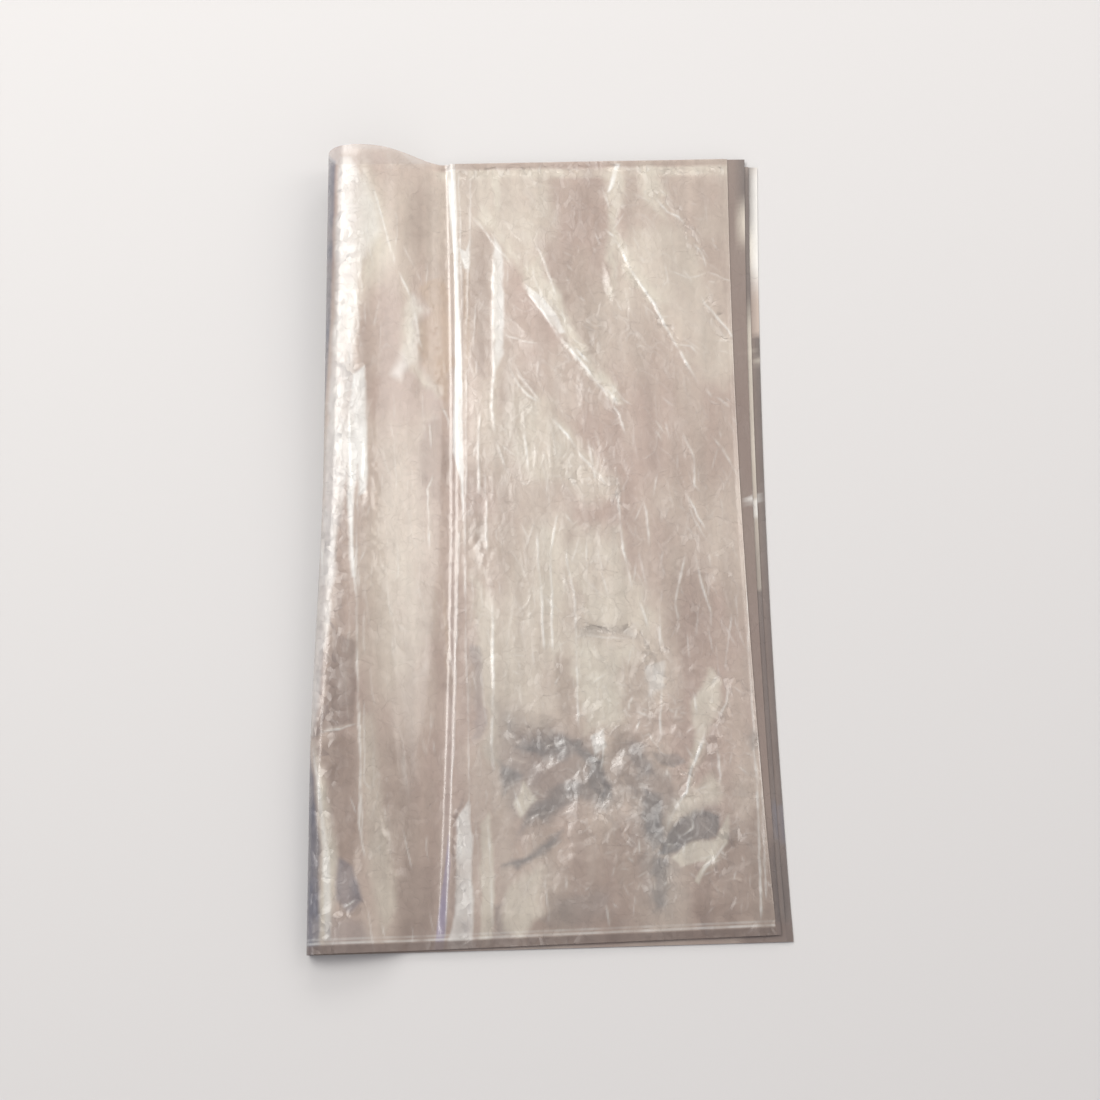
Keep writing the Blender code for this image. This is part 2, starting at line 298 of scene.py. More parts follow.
# Where the film has crumpled into small creases: middle, half sizes, turn from
# straight down the bag in degrees and its spread, how many, and their lengths.
SCATTERED = [
    ("hair", (40, 120), (60, 70), 40, 24, 90, (3, 16)),
    ("hair", (30, 0), (70, 60), 8, 18, 110, (4, 22)),
    ("hair", (40, -120), (62, 60), 10, 70, 170, (2, 10)),
    ("fine", (45, -125), (55, 50), 20, 70, 50, (4, 13)),
    ("fine", (50, 60), (50, 90), 25, 25, 26, (5, 14)),
    ("hair", (-75, 0), (22, 190), 3, 8, 40, (8, 30)),
    ("fine", (-94, 60), (6, 130), 2, 4, 22, (8, 34)),
    ("hair", (-33, 0), (6, 190), 2, 4, 26, (8, 34)),
    ("shade", (40, -120), (60, 55), 70, 60, 22, (6, 16)),
]
SCATTER_SEED = 11

# Regions of the film that are creased in their own way: middle and half sizes.
REGIONS = {
    "crumpled": ((45, -125), (75, 62)),
    "slanting": ((35, 110), (75, 110)),
    "drawn": ((30, 0), (90, 90)),
    "fold": ((-75, 0), (30, 230)),
}
# The facets that stand up in a region: height, cell, stretch, turn and seed.
RELIEF = [
    ("crumpled", 0.50, 16, 1.0, 20, 3),
    ("crumpled", 0.14, 6, 1.0, 50, 5),
    ("crumpled", 0.07, 3, 1.2, 20, 6),
    ("slanting", 0.20, 22, 2.2, 38, 7),
    ("slanting", 0.07, 7, 2.0, 30, 8),
    ("drawn", 0.14, 17, 3.4, 4, 9),
    ("drawn", 0.07, 6, 3.0, 8, 10),
    ("fold", 0.22, 18, 4.0, 2, 12),
    ("fold", 0.08, 7, 4.0, 0, 13),
]

# Layers of soft unevenness, each with its depth, cell, stretch and seed: how far
# creases waver across and along the bag, how they are broken up, how the film
# swells, how the tones' outlines are bent, how milky the film looks, partly painted
# sheen, and how much painted shade it shows from place to place, how uneven the
# tones are, how the painted highlights at the weld and the painted sheen by the rim
# sparkle, how the colour is streaked, and how crinkled the film is.
WAVER_ACROSS = [(0.5, 11, 1.4, 41), (0.25, 3.2, 1.3, 43)]
WAVER_ALONG = [(0.8, 11, 1.4, 42), (0.35, 3.2, 1.3, 44)]
BROKEN = [(0.55, 5.5, 1.6, 45), (0.35, 1.8, 1.5, 46)]
SWELL = [(0.12, 40, 1.8, 14)]
BENT_ACROSS = [(3.2, 15, 1.0, 30), (2.0, 7, 1.0, 31), (1.2, 3, 1.0, 32)]
BENT_ALONG = [(3.2, 14, 1.0, 29), (2.0, 7, 1.0, 33), (1.2, 3, 1.0, 34)]
MILKY_SHEEN = [(0.30, 24, 2.4, 22), (0.14, 7, 2.6, 23)]
DUSKY_SHADE = [(0.25, 17, 2.0, 24)]
UNEVEN = [(0.18, 6, 1.5, 37)]
STEP_UNEVEN = [(0.25, 7, 1.0, 38)]
SPARKLE = [(0.4, 5, 1.0, 35)]
STREAKS = [(0.5, 2.4, 9.0, 25), (0.6, 6.0, 6.0, 26), (0.35, 1.5, 1.2, 27)]
CRINKLING = [(0.20, 25, 2.0, 36)]

# What some of those layers vary about, and the limits of how broken creases are.
BROKEN_MEAN = 0.75
BROKEN_LIMITS = (0.12, 1.4)
MILKY_SHEEN_MEAN = 0.18
DUSKY_SHADE_MEAN = 0.05
UNEVEN_MEAN = 0.82
STEP_UNEVEN_MEAN = 0.75
SPARKLE_MEAN = 0.6
CRINKLED_MEAN = 0.48

# Webs of the finest crease lines: where in the film, cell and stretch of the web,
# its turn and its seed. Then their width in millimetres, height and painted
# highlight, and the patches in which they show: depth, cell, stretch and mean.
WEBS = [
    ("crumpled", 9, 1.0, 20, 15),
    ("crumpled", 5, 1.3, 60, 19),
    ("slanting", 10, 2.5, 38, 16),
    ("slanting", 6, 2.0, 30, 20),
    ("drawn", 8, 3.5, 8, 17),
    ("drawn", 5, 4.5, 2, 21),
    ("fold", 8, 5.0, 2, 18),
]
WEB_WIDTH = 0.75
WEB_HEIGHT = 0.07
WEB_HIGHLIGHT = 0.13
WEB_PATCHES = (1.5, 9, 1.5)
WEB_PATCH_SEED = 40
WEB_MEAN = 0.1

# The tones, as base colours: the film's own pink, tan, brown and lilac, its milky
# haze, which also stands for painted sheen, then a painted highlight, painted shade,
# painted grey and slate reflections of the room, and painted shadow.
TONES = {
    "pink": (0.470, 0.367, 0.311),
    "shade_dusk": (0.325, 0.247, 0.202),
    "milk_sheen": (0.655, 0.604, 0.505),
    "white": (0.86, 0.86, 0.82),
    "tan": (0.47, 0.36, 0.275),
    "brown": (0.175, 0.128, 0.106),
    "reflection_grey": (0.190, 0.185, 0.180),
    "slate": (0.15, 0.15, 0.18),
    "lilac": (0.34, 0.29, 0.38),
    "shadow": (0.085, 0.070, 0.064),
}

# These tones end more softly than their outlines say, but not where the outline
# is sharp. The sharpest outlines are not bent either.
SOFTER = {"reflection_grey": 1.35, "milk_sheen": 1.9, "shade_dusk": 1.6, "brown": 1.4}
SOFTER_FROM = 2.0
SHARPEST = 0.8

# The slope of the roll starts left of here, as it is seen. Outlines are bent less
# on it, by this share.
ROLL_SEEN = -60.0
HELD_ON_ROLL = 0.7

# Where the film shows another tone, its own or painted light and shade: tone,
# depth, softness of the edge in millimetres, and outline. Later ones lie over earlier ones.
TONED = [
    # Broad tones: milky sheen, partly painted, and painted shade.
    ("milk_sheen", 0.40, 12, [(-90, 198), (-62, 192), (-58, 150), (-66, 130), (-84, 138)]),
    ("milk_sheen", 0.35, 10, [(-36, 10), (10, 8), (34, -10), (56, -40), (60, -84), (30, -96), (-24, -84),
                        (-36, -50)]),
    ("milk_sheen", 0.45, 16, [(-90, 60), (-58, 60), (-56, -50), (-64, -80), (-90, -60)]),
    ("shade_dusk", 0.75, 9, [(-80, -100), (-60, -98), (-54, -150), (-50, -202), (-74, -202), (-76, -150)]),
    ("milk_sheen", 0.55, 8, [(-34, 196), (2, 196), (6, 180), (2, 158), (-4, 140), (-12, 142), (-22, 158),
                       (-34, 166)]),
    ("shade_dusk", 0.50, 8, [(9, 190), (31, 190), (33, 150), (34, 110), (28, 88), (20, 98), (14, 112), (12, 142)]),
    ("shade_dusk", 0.25, 10, [(40, 118), (52, 120), (76, 78), (96, 60), (90, 20), (60, 22), (42, 60)]),
    ("milk_sheen", 0.45, 6, [(40, 158), (55, 164), (75, 166), (84, 150), (84, 118), (98, 104), (99, 84), (88, 76),
                       (80, 82), (66, 104), (57, 124), (48, 140)]),
    ("shade_dusk", 0.30, 6, [(78, 192), (96, 190), (98, 130), (90, 122), (86, 150), (76, 170)]),
    ("shade_dusk", 0.70, 6, [(10, -142), (43, -145), (46, -180), (40, -196), (-10, -197), (8, -168), (12, -150)]),
    ("shade_dusk", 0.85, 5, [(86, -146), (102, -134), (106, -196), (66, -194), (66, -178), (77, -161)]),
    ("shade_dusk", 0.35, 8, [(58, -20), (76, -14), (84, -60), (72, -70), (58, -62)]),
    ("milk_sheen", 0.60, 5, [(-16, 76), (0, 69), (14, 53), (27, 34), (35, 20), (24, 14), (10, 30), (-8, 28),
                       (-18, 44)]),
    ("milk_sheen", 0.60, 5, [(10, 12), (18, 2), (34, 6), (42, -24), (54, -44), (40, -48), (18, -42), (12, -20)]),
    ("milk_sheen", 0.60, 4, [(-4, 5), (2, 0), (8, -10), (7, -60), (0, -62), (-3, -30)]),
    ("milk_sheen", 0.35, 8, [(-24, -30), (-6, -28), (-4, -95), (-22, -100)]),
    # The roll, from the mouth to the weld: a painted highlight along its crest,
    # painted sheen and shade, and painted reflections of the bluish room at its edge.
    ("white", 0.6, 3.0, [(-105.5, 206), (-99, 206), (-91, 190), (-90.5, 160), (-94, 130), (-96, 100),
                         (-97, 60), (-98, 40), (-100, 20), (-103, 0), (-103.5, -20), (-106, -40),
                         (-108, -62), (-109, -80), (-112.5, -98), (-115, -98), (-114, -60), (-112, -20),
                         (-110.5, 10), (-109, 45), (-107.5, 80), (-106, 120), (-105.5, 160)]),
    ("white", 0.9, 2.0, [(-96, 86), (-90.5, 90), (-88.5, 60), (-88, 34), (-89, 23), (-92, 22), (-93, 38),
                         (-95, 20), (-95, -2), (-93.5, -20), (-95.5, -20), (-98, 22), (-98, 60)]),
    ("milk_sheen", 1.0, 7.0, [(-92, 202), (-86, 190), (-77, 156), (-78, 148), (-84, 138), (-92, 128), (-93, 160)]),
    ("white", 0.5, 7.0, [(-92, 198), (-88, 188), (-82, 165), (-92, 150)]),
    ("shade_dusk", 0.45, 6.0, [(-103, -10), (-96, -20), (-94, -50), (-104, -50)]),
    ("brown", 0.60, 2.5, [(-103, -48), (-93, -52), (-92, -75), (-93, -93), (-104, -95), (-112, -98),
                          (-107, -82), (-106, -65)]),
    ("shade_dusk", 1.0, 3.0, [(-111, -104), (-98, -97), (-92, -100), (-90, -140), (-92, -160), (-99, -165),
                        (-101, -140), (-105, -118)]),
    ("milk_sheen", 1.0, 2.5, [(-112.5, -101), (-107, -120), (-103, -140), (-100, -158), (-101, -178), (-104, -194),
                        (-109, -194), (-107, -165), (-108, -140), (-110.5, -120)]),
    ("white", 0.60, 1.8, [(-112.8, -104), (-109.5, -118), (-106, -140), (-103, -160), (-102, -194),
                          (-105, -194), (-106, -165), (-108, -140)]),
    ("slate", 0.75, 3.0, [(-99, -156), (-92, -160), (-88, -176), (-94, -182), (-100, -176)]),
    ("slate", 0.35, 6.0, [(-104, -182), (-88, -186), (-78, -200), (-106, -202)]),
    ("milk_sheen", 0.55, 3.0, [(-89, -88), (-84, -88), (-80, -125), (-74, -160), (-72, -180), (-78, -190),
                         (-85, -165), (-88, -130)]),
    ("slate", 1.0, 1.6, [(-116, 212), (-107, 204), (-107.3, 150), (-108.3, 100), (-110.5, 60), (-112.5, 20),
                         (-116, 20)]),
    ("slate", 1.0, 2.6, [(-117, -100), (-113, -112), (-110.5, -130), (-108, -150), (-107, -200),
                         (-117, -204)]),
    # The slope beside the roll, with painted highlight, sheen and shade on its facets.
    ("shade_dusk", 0.35, 9, [(-66, 184), (-50, 186), (-48, 140), (-60, 136)]),
    ("tan", 0.95, 3.5, [(-60, 130), (-52, 136), (-47, 130), (-46, 100), (-48, 66), (-56, 84), (-61, 100)]),
    ("white", 0.75, 6, [(-70, 124), (-66, 128), (-62.5, 110), (-61, 98), (-66, 92), (-72, 82), (-76, 86),
                        (-71, 98), (-69, 108)]),
    ("milk_sheen", 0.8, 4, [(-72, 140), (-68, 128), (-62, 104), (-60, 90), (-52, 74), (-60, 80), (-72, 100)]),
    ("shade_dusk", 0.7, 3, [(-60, 58), (-51, 60), (-46.5, 42), (-50, 16), (-57, 22), (-60, 38)]),
    ("tan", 0.6, 1.6, [(-51.5, -20), (-46, -60), (-45, -78), (-47, -80), (-50, -45)]),
    ("brown", 0.22, 5, [(-70, -158), (-56, -160), (-52, -202), (-73, -202)]),
    ("lilac", 0.95, 1.2, [(-47.5, -146), (-47, -160), (-50, -202), (-54.5, -202), (-51, -172)]),
    # Beside the gussets' folds and the long crease: painted highlights along them,
    # and painted sheen, shade and reflection beside them.
    ("white", 1.0, 1.1, [(-49, 204), (-44.5, 204), (-44, 180), (-43, 150), (-42, 120), (-41, 90),
                         (-40.5, 60), (-40, 20), (-40.5, 8), (-41.5, 28), (-45.5, 44), (-45, 60),
                         (-44.5, 90), (-43.8, 120), (-45, 150), (-48, 180)]),
    ("white", 0.8, 1.0, [(-42.5, 154), (-39, 152), (-37, 158), (-37.5, 140), (-39, 140)]),
    ("tan", 0.7, 1.2, [(-40, 142), (-37, 142), (-36.5, 96), (-39.5, 84)]),
    ("shade_dusk", 0.7, 3, [(-33, 164), (-28, 158), (-26, 130), (-26, 92), (-31, 82), (-36, 96), (-36, 130)]),
    ("white", 0.75, 2.0, [(-25, 160), (-20.5, 150), (-19.5, 120), (-21, 96), (-25, 82), (-25.5, 110)]),
    ("milk_sheen", 0.8, 2.0, [(-24.5, 198), (-20.5, 196), (-21, 176), (-24, 172)]),
    ("brown", 0.30, 3, [(-38.5, 36), (-30, 30), (-29, 4), (-31, -8), (-36, -5), (-39, 8)]),
    ("milk_sheen", 0.55, 2.5, [(-37, -18), (-28, -28), (-24.5, -40), (-24.5, -112), (-29, -114), (-32, -60)]),
    ("slate", 0.30, 3, [(-36, -56), (-31, -56), (-31, -100), (-36, -100)]),
    ("milk_sheen", 0.8, 2.0, [(-33, -142), (-29, -136), (-26.5, -165), (-27, -202), (-33, -202)]),
    ("white", 0.65, 1.5, [(-43, -138), (-38.5, -130), (-36.5, -150), (-36.5, -202), (-49, -202),
                          (-45, -180)]),
    ("brown", 0.45, 1.6, [(-44.5, -136), (-40, -126), (-41, -131), (-46, -150), (-46, -168)]),
    ("brown", 0.35, 2, [(-46.5, -152), (-45, -150), (-43, -168), (-46, -184), (-47.5, -180)]),
    # The two slanting creases and the mouth, with painted sheen and highlights.
    ("milk_sheen", 0.95, 3.5, [(-12, 142), (2, 150), (10, 132), (16, 104), (26, 90), (37, 78), (41, 66), (35, 67),
                         (22, 88), (10, 104), (3, 117), (-5, 130)]),
    ("white", 0.75, 1.5, [(-8, 134), (-2, 128), (6, 118), (11, 106), (8, 106), (2, 114), (-6, 126)]),
    ("milk_sheen", 0.85, 3.5, [(33, 190), (40, 201), (42, 192), (39.5, 175), (39, 150), (38, 128), (34, 128),
                         (34, 160)]),
    ("white", 0.9, 1.2, [(34.5, 184), (39, 200), (41.5, 200), (37, 186)]),
    ("milk_sheen", 0.8, 3.5, [(50, 200), (60, 200), (66, 182), (62, 170), (57, 176), (52, 186)]),
    ("milk_sheen", 0.9, 2.5, [(37, 162), (42, 158), (52, 140), (62, 122), (56, 122), (46, 138), (40, 150)]),
    ("milk_sheen", 0.7, 3, [(-32, 176), (-24, 168), (-12, 150), (-14, 144), (-22, 155), (-30, 164)]),
    # The middle and the crumpled corner: painted sheen, highlights and shade, and
    # patches of painted grey reflection.
    ("milk_sheen", 0.9, 6, [(12, -50), (24, -56), (38, -54), (36, -80), (30, -96), (20, -96), (15, -80)]),
    ("shade_dusk", 0.5, 3, [(4, -62), (13, -62), (13, -95), (4, -88)]),
    ("shade_dusk", 0.45, 3, [(34, -62), (45, -66), (44, -92), (36, -92)]),
    ("white", 0.45, 2.5, [(46, -66), (55, -64), (55, -76), (48, -82)]),
    ("milk_sheen", 0.9, 2.2, [(70, -85), (78, -68), (84, -74), (82, -88), (75, -100), (67, -118), (70, -100)]),
    ("reflection_grey", 0.35, 3, [(16, -48), (24, -45), (36, -46), (44, -52), (34, -51), (18, -51)]),
    ("brown", 0.35, 4, [(32, -95), (39, -95), (43, -130), (36, -134), (31, -110)]),
    ("reflection_grey", 0.42, 9, [(-26, -84), (-12, -90), (6, -94), (22, -102), (32, -110), (34, -130), (16, -134),
                       (0, -138), (-12, -144), (-24, -128)]),
    ("reflection_grey", 0.40, 8, [(38, -102), (50, -112), (62, -128), (82, -136), (84, -152), (64, -160), (56, -184),
                       (44, -180), (38, -140)]),
    ("reflection_grey", 0.80, 4, [(-2, -96), (8, -97), (18, -103), (20, -112), (10, -110), (0, -107), (-10, -106),
                       (-18, -103)]),
    ("reflection_grey", 0.65, 3, [(-24, -111), (-12, -116), (-20, -124), (-24, -129)]),
    ("reflection_grey", 0.85, 3, [(20, -108), (27, -110), (31, -122), (27, -130), (20, -125)]),
    ("reflection_grey", 0.60, 4, [(-10, -138), (4, -124), (26, -124), (26, -133), (10, -134), (0, -138), (-16, -147)]),
    ("reflection_grey", 0.80, 3, [(-22, -161), (-10, -156), (6, -144), (3, -151), (-12, -162)]),
    ("reflection_grey", 0.50, 3, [(40, -104), (47, -106), (49, -118), (42, -121)]),
    ("reflection_grey", 0.60, 2, [(50, -109), (60, -109), (66, -113), (60, -116), (52, -113)]),
    ("reflection_grey", 0.80, 3, [(44, -127), (52, -129), (55, -150), (47, -155), (43, -140)]),
    ("reflection_grey", 0.80, 2, [(60, -142), (70, -136), (81, -139), (80, -150), (66, -152), (57, -156), (50, -157)]),
    ("reflection_grey", 0.65, 3, [(48, -158), (54, -160), (54, -178), (49, -182), (46, -168)]),
    ("reflection_grey", 0.35, 6, [(0, -178), (24, -174), (26, -184), (10, -192), (-2, -188)]),
    ("reflection_grey", 0.40, 3, [(96, -97), (103, -97), (103, -109), (97, -110)]),
    ("reflection_grey", 0.45, 3, [(-26, -180), (-21, -180), (-20, -196), (-26, -197)]),
    ("milk_sheen", 1.0, 2, [(57, -158), (66, -152), (80, -151), (78, -160), (62, -163)]),
    ("milk_sheen", 0.75, 4, [(60, -132), (80, -116), (83, -130), (66, -140), (57, -143)]),
    ("milk_sheen", 0.80, 2, [(-14, -139), (-5, -130), (-12, -120), (-17, -131)]),
    ("white", 0.60, 1.5, [(21, -100), (27, -97), (28, -105), (23, -109)]),
    ("milk_sheen", 0.80, 3, [(-18, -168), (-5, -164), (-3, -186), (-16, -197), (-22, -190)]),
    ("milk_sheen", 0.80, 1.5, [(84, -140), (86, -138), (84, -152), (76, -160), (70, -172), (68, -170), (76, -156)]),
]

# The side steps, in the same way: they look brown, with painted shadow along the
# outermost ones, painted sheen, white painted highlights, most at the mouth's corner,
# and a painted reflection.
STEP_TONED = [
    ("brown", 0.85, 0.8, [(90, 204), (104.6, 204), (105.6, 100), (105, 0), (105, -100), (108, -204),
                          (90, -204)]),
    ("shadow", 0.85, 0.8, [(105.2, 206), (108.5, 206), (108.5, 160), (109, 108), (112, 96), (116, 40),
                           (116, -204), (106, -204), (105, -20), (105.6, 100)]),
    ("white", 0.80, 1.0, [(109.6, 206), (113, 206), (113, 104), (111, 108), (110.6, 140), (109.4, 160),
                          (108.6, 176)]),
    ("milk_sheen", 0.80, 0.8, [(104.6, 204), (105.3, 204), (106.2, 100), (105.6, 40), (106, -30), (105.4, -30),
                         (104.9, 40), (105.5, 100)]),
    ("white", 0.60, 1.0, [(102, 19), (106, 17), (106, 5), (104.5, 10)]),
    ("milk_sheen", 0.50, 1.5, [(103, 96), (108, 90), (112, 86), (108, 96)]),
    ("slate", 0.50, 2.0, [(106, -132), (112, -134), (112, -152), (108, -150)]),
]

# Where the film is crinkled most: the crumpled corner, by its middle and half
# sizes, and how crinkled it and the plies underneath are.
CRINKLED_CORNER = ((48, -130), (58, 45))
CORNER_CRINKLED = 0.75
UNDER_CRINKLED = 0.3

# Runs of tiny crinkles: path and width.
CRINKLED_RUNS = [
    ([(80, -72), (84, -88), (78, -100), (70, -112), (63, -128), (56, -148)], 5),
    ([(86, -148), (80, -158), (70, -170)], 6),
    ([(48, -128), (52, -150), (54, -175)], 5),
    ([(-20, -96), (0, -99), (16, -103)], 5),
    ([(26, -100), (28, -118), (26, -130)], 5),
    ([(46, -60), (50, -74), (54, -80)], 6),
    ([(20, -46), (44, -50), (54, -56)], 3),
    ([(82, -74), (98, -78), (104, -104), (108, -104)], 5),
    ([(-10, 140), (0, 130), (8, 112)], 5),
    ([(14, 98), (26, 84), (36, 68)], 5),
    ([(40, 158), (52, 130), (66, 100)], 3),
    ([(60, 182), (78, 168), (84, 150)], 4),
    ([(84, 122), (96, 104), (98, 92)], 4),
    ([(-40, 196), (0, 196), (50, 196), (96, 196)], 3),
    ([(-111, 195), (-110, 100), (-110, 0), (-111, -100)], 3),
    ([(-90, -178), (-100, -182), (-108, -190)], 6),
    ([(10, 34), (28, 28), (40, 12)], 4),
    ([(-42, -135), (-44, -160), (-42, -196)], 4),
    ([(-101, 190), (-99, 100), (-102, 0), (-108, -100), (-106, -196)], 9),
]

# The weld's brown line and the mouth's rim, from the film's cut edges, in
# millimetres, how deep the weld's brown and the rim's painted shade are, the painted
# highlight lines at the weld with their depths, and the band of painted milky sheen
# beside the rim. The rim's tones start beside the roll.
WELD_LINE = 4.4
WELD_BROWN = 0.85
WELD_HIGHLIGHT_LINES = ((4.6, 0.55), (6.4, 0.30))
RIM = 3.6
RIM_SHADE = 0.45
RIM_BAND = 7.0
BAND_SHEEN = 0.9
RIM_FROM = -62.0

# Where the roll's mouth stands out over the plies under it, as it is seen, and
# where the steps at the weld are brown.
ROLL_MOUTH_SEEN = 201.5
STEP_WELD_SEEN = -187.0
STEP_WELD_BROWN = 0.7

# The upper wall lies this far off the plies under it, on average, in millimetres.
STAND_OFF = 0.42
LOWEST_RELIEF = -0.05

# In metres: a millimetre, how near its side crease the upper wall's relief dies
# away, and how unevenly the plies underneath lie.
MM = 0.001
SIDE_FADE = 0.003
UNDER_RELIEF = 0.00005

# How much darker the bag looks at its weld than at its mouth, where that starts and
# how long it takes, in millimetres, and how streaked the bag is.
SHADE_AT_WELD = 0.14
SHADE_FROM = 100.0
SHADE_REACH = 300.0
STREAKED = 0.11

# How much hides what is under it: the upper film, the upper film at the roll's
# mouth, the inner wall in the roll, and the stack of plies.
PLY_VEIL = 0.86
MOUTH_VEIL = 0.62
INNER_VEIL = 0.55
STACK_VEIL = 1.0


def smooth(value):
    """Ease from 0 to 1, flat at both ends."""
    value = np.clip(value, 0.0, 1.0)
    return value * value * (3.0 - 2.0 * value)


def blend(ends, along):
    """A value between two ends', such as the bottom's and the mouth's."""
    return ends[0] + (ends[1] - ends[0]) * along


def level(ply):
    """Height of the middle of a ply, counted from the lowest one."""
    return FILM / 2 + ply * PITCH


def bow(depth, along):
    """A bow that is deepest half way along and dies away at both ends."""
    return depth * 4.0 * along * (1.0 - along)


def side_edge(along):
    """The outermost side crease, drawn in a little half way along."""
    return WIDTH / 2 - FILM / 2 - bow(SIDE_BOW, along)


def roll_edge(along):
    """The outer face of the roll."""
    eased = smooth((along - ROLL_FULL_AT) / (ROLL_SET_AT - ROLL_FULL_AT))
    return -WIDTH / 2 + FILM / 2 + ROLL_SETBACK_MOUTH * eased


def upper_gusset_fold(along):
    """Where the upper gusset turns back, deep inside the bag."""
    crease = WIDTH / 2 - FILM / 2 - blend(UPPER_INNER_INSET, along)
    return crease - blend(GUSSET_DEPTH, along) + bow(GUSSET_BOW, along)


def lower_gusset_fold(along):
    """Where the lower gusset turns back."""
    offset = blend(LOWER_GUSSET_OFFSET, along) - bow(LOWER_GUSSET_BOW, along)
    return upper_gusset_fold(along) + offset


def crest_height(along):
    """Height of the film over the top of the roll."""
    return blend(ROLL_HEIGHT, along) - FILM / 2


def end_places(x, half, along):
    """Where the bottom edge and the mouth's rim lie beside this point."""
    share = (x - roll_edge(along)) / (side_edge(along) - roll_edge(along))
    side_bottom = blend((LOWER_SIDE_BOTTOM, UPPER_SIDE_BOTTOM), half)
    upper_mouth = (1.0 - share) * ROLL_MOUTH
    lower_mouth = blend((ROLL_MOUTH, LOWER_SIDE_MOUTH), share)
    mouth = blend((lower_mouth, upper_mouth), half)
    return -LENGTH / 2 + share * side_bottom, LENGTH / 2 - mouth


def seen(x, y, z):
    """Where the camera sees a point, in millimetres on the plane under the bag."""
    reach = CAMERA_AT.z / (CAMERA_AT.z - z)
    return (
        (CAMERA_AT.x + (x - CAMERA_AT.x) * reach) * 1000.0,
        (CAMERA_AT.y + (y - CAMERA_AT.y) * reach) * 1000.0,
    )


def wavering(u, v):
    """Move places a little to and fro, so that no drawn line is quite straight."""
    return u + clouds(u, v, WAVER_ACROSS), v + clouds(u, v, WAVER_ALONG)


def press_crease(height, line, sheen_wash, u, v, path, kind, strength):
    """Raise one crease along a path; paint a highlight, partly whitened film, on its edge and milky sheen
    beside it.

    Its first side faces the roll where the path runs towards the weld.
    """
    rise, left, right, fade, white, milky_sheen = KINDS[kind]
    points = np.array(path, dtype=float)
    steps = np.diff(points, axis=0)
    lengths = np.hypot(steps[:, 0], steps[:, 1])
    total = lengths.sum()
    fade = min(fade, total / 2.0)
    reach = max(left, right)
    low, high = points.min(axis=0) - reach, points.max(axis=0) + reach
    near = (u > low[0]) & (u < high[0]) & (v > low[1]) & (v < high[1])
    if not near.any():
        return
    a, b = u[near], v[near]
    best, edge, side_sheen = np.zeros_like(a), np.zeros_like(a), np.zeros_like(a)
    done = 0.0
    for start, step, length in zip(points, steps, lengths):
        way = step / length
        along = np.clip((a - start[0]) * way[0] + (b - start[1]) * way[1], 0.0, length)
        off_a = a - start[0] - way[0] * along
        off_b = b - start[1] - way[1] * along
        side = off_b * way[0] - off_a * way[1]
        gap = np.hypot(off_a, off_b)
        shape = np.clip(1.0 - gap / np.where(side < 0.0, left, right), 0.0, 1.0)
        shape = np.where(side < 0.0, 0.5 * (shape + smooth(shape)), shape ** 1.5)
        place = done + along
        fades = smooth(np.minimum(place, total - place) / fade)
        best = np.maximum(best, shape * fades)
        edge = np.maximum(edge, smooth(1.25 - gap / (0.75 * left)) * fades)
        side_sheen = np.maximum(side_sheen, np.where(side > 0.0, shape, 0.0) * fades)
        done += length
    height[near] += rise * strength[near] * best
    # Painted highlight along the edge, partly whitened film, and painted milky sheen beside it.
    line[near] = np.maximum(line[near], white * strength[near] * edge)
    sheen_wash[near] = np.maximum(sheen_wash[near], milky_sheen * strength[near] * side_sheen)


def scattered_creases():
    """The many small creases, as (kind, path, strength), the same ones each time."""
    random = np.random.default_rng(SCATTER_SEED)
    for kind, middle, half, turn, spread, count, span in SCATTERED:
        for _ in range(count):
            x = middle[0] + half[0] * random.uniform(-1, 1)
            y = middle[1] + half[1] * random.uniform(-1, 1)
            angle = math.radians(turn + random.normal() * spread)
            length = random.uniform(*span)
            bend = random.normal() * 0.06
            path = [(x, y)]
            for _ in range(3):
                x += math.sin(angle) * length / 3
                y -= math.cos(angle) * length / 3
                path.append((x, y))
                angle += bend
            if path[0][1] < path[-1][1]:
                path.reverse()
            yield kind, path, random.uniform(0.15, 0.9)


def lattice_value(i, j, seed):
    """A repeatable random value, -1 to 1, for each cell corner."""
    spun = np.sin(i * 127.1 + j * 311.7 + seed * 74.7) * 43758.5453
    return 2.0 * (spun - np.floor(spun)) - 1.0


def facets(u, v, cell, stretch, turn, seed):
    """Flat tilted facets that meet in sharp edges, as in crumpled film, -1 to 1."""
    angle = math.radians(turn)
    a = (u * math.cos(angle) + v * math.sin(angle)) / cell
    b = (v * math.cos(angle) - u * math.sin(angle)) / (cell * stretch)
    a, b = (
        a + 0.45 * np.sin(1.7 * b + seed) + 0.22 * np.sin(3.1 * a + 2.3 * b),
        b + 0.45 * np.sin(1.9 * a + 2.0 * seed) + 0.22 * np.sin(2.7 * b - 1.9 * a),
    )
    skew = (a + b) * 0.366
    i, j = np.floor(a + skew), np.floor(b + skew)
    p, q = a + skew - i, b + skew - j
    first = p > q
    middle = np.where(first, lattice_value(i + 1, j, seed), lattice_value(i, j + 1, seed))
    near, far = lattice_value(i, j, seed), lattice_value(i + 1, j + 1, seed)
    high, low = np.maximum(p, q), np.minimum(p, q)
    return near * (1.0 - high) + middle * (high - low) + far * low


def cloud(u, v, cell, stretch, seed):
    """Soft random value, -1 to 1."""
    a, b = u / cell, v / (cell * stretch)
    i, j = np.floor(a), np.floor(b)
    p, q = smooth(a - i), smooth(b - j)
    near = lattice_value(i, j, seed) * (1 - p) + lattice_value(i + 1, j, seed) * p
    far = lattice_value(i, j + 1, seed) * (1 - p) + lattice_value(i + 1, j + 1, seed) * p
    return near * (1 - q) + far * q


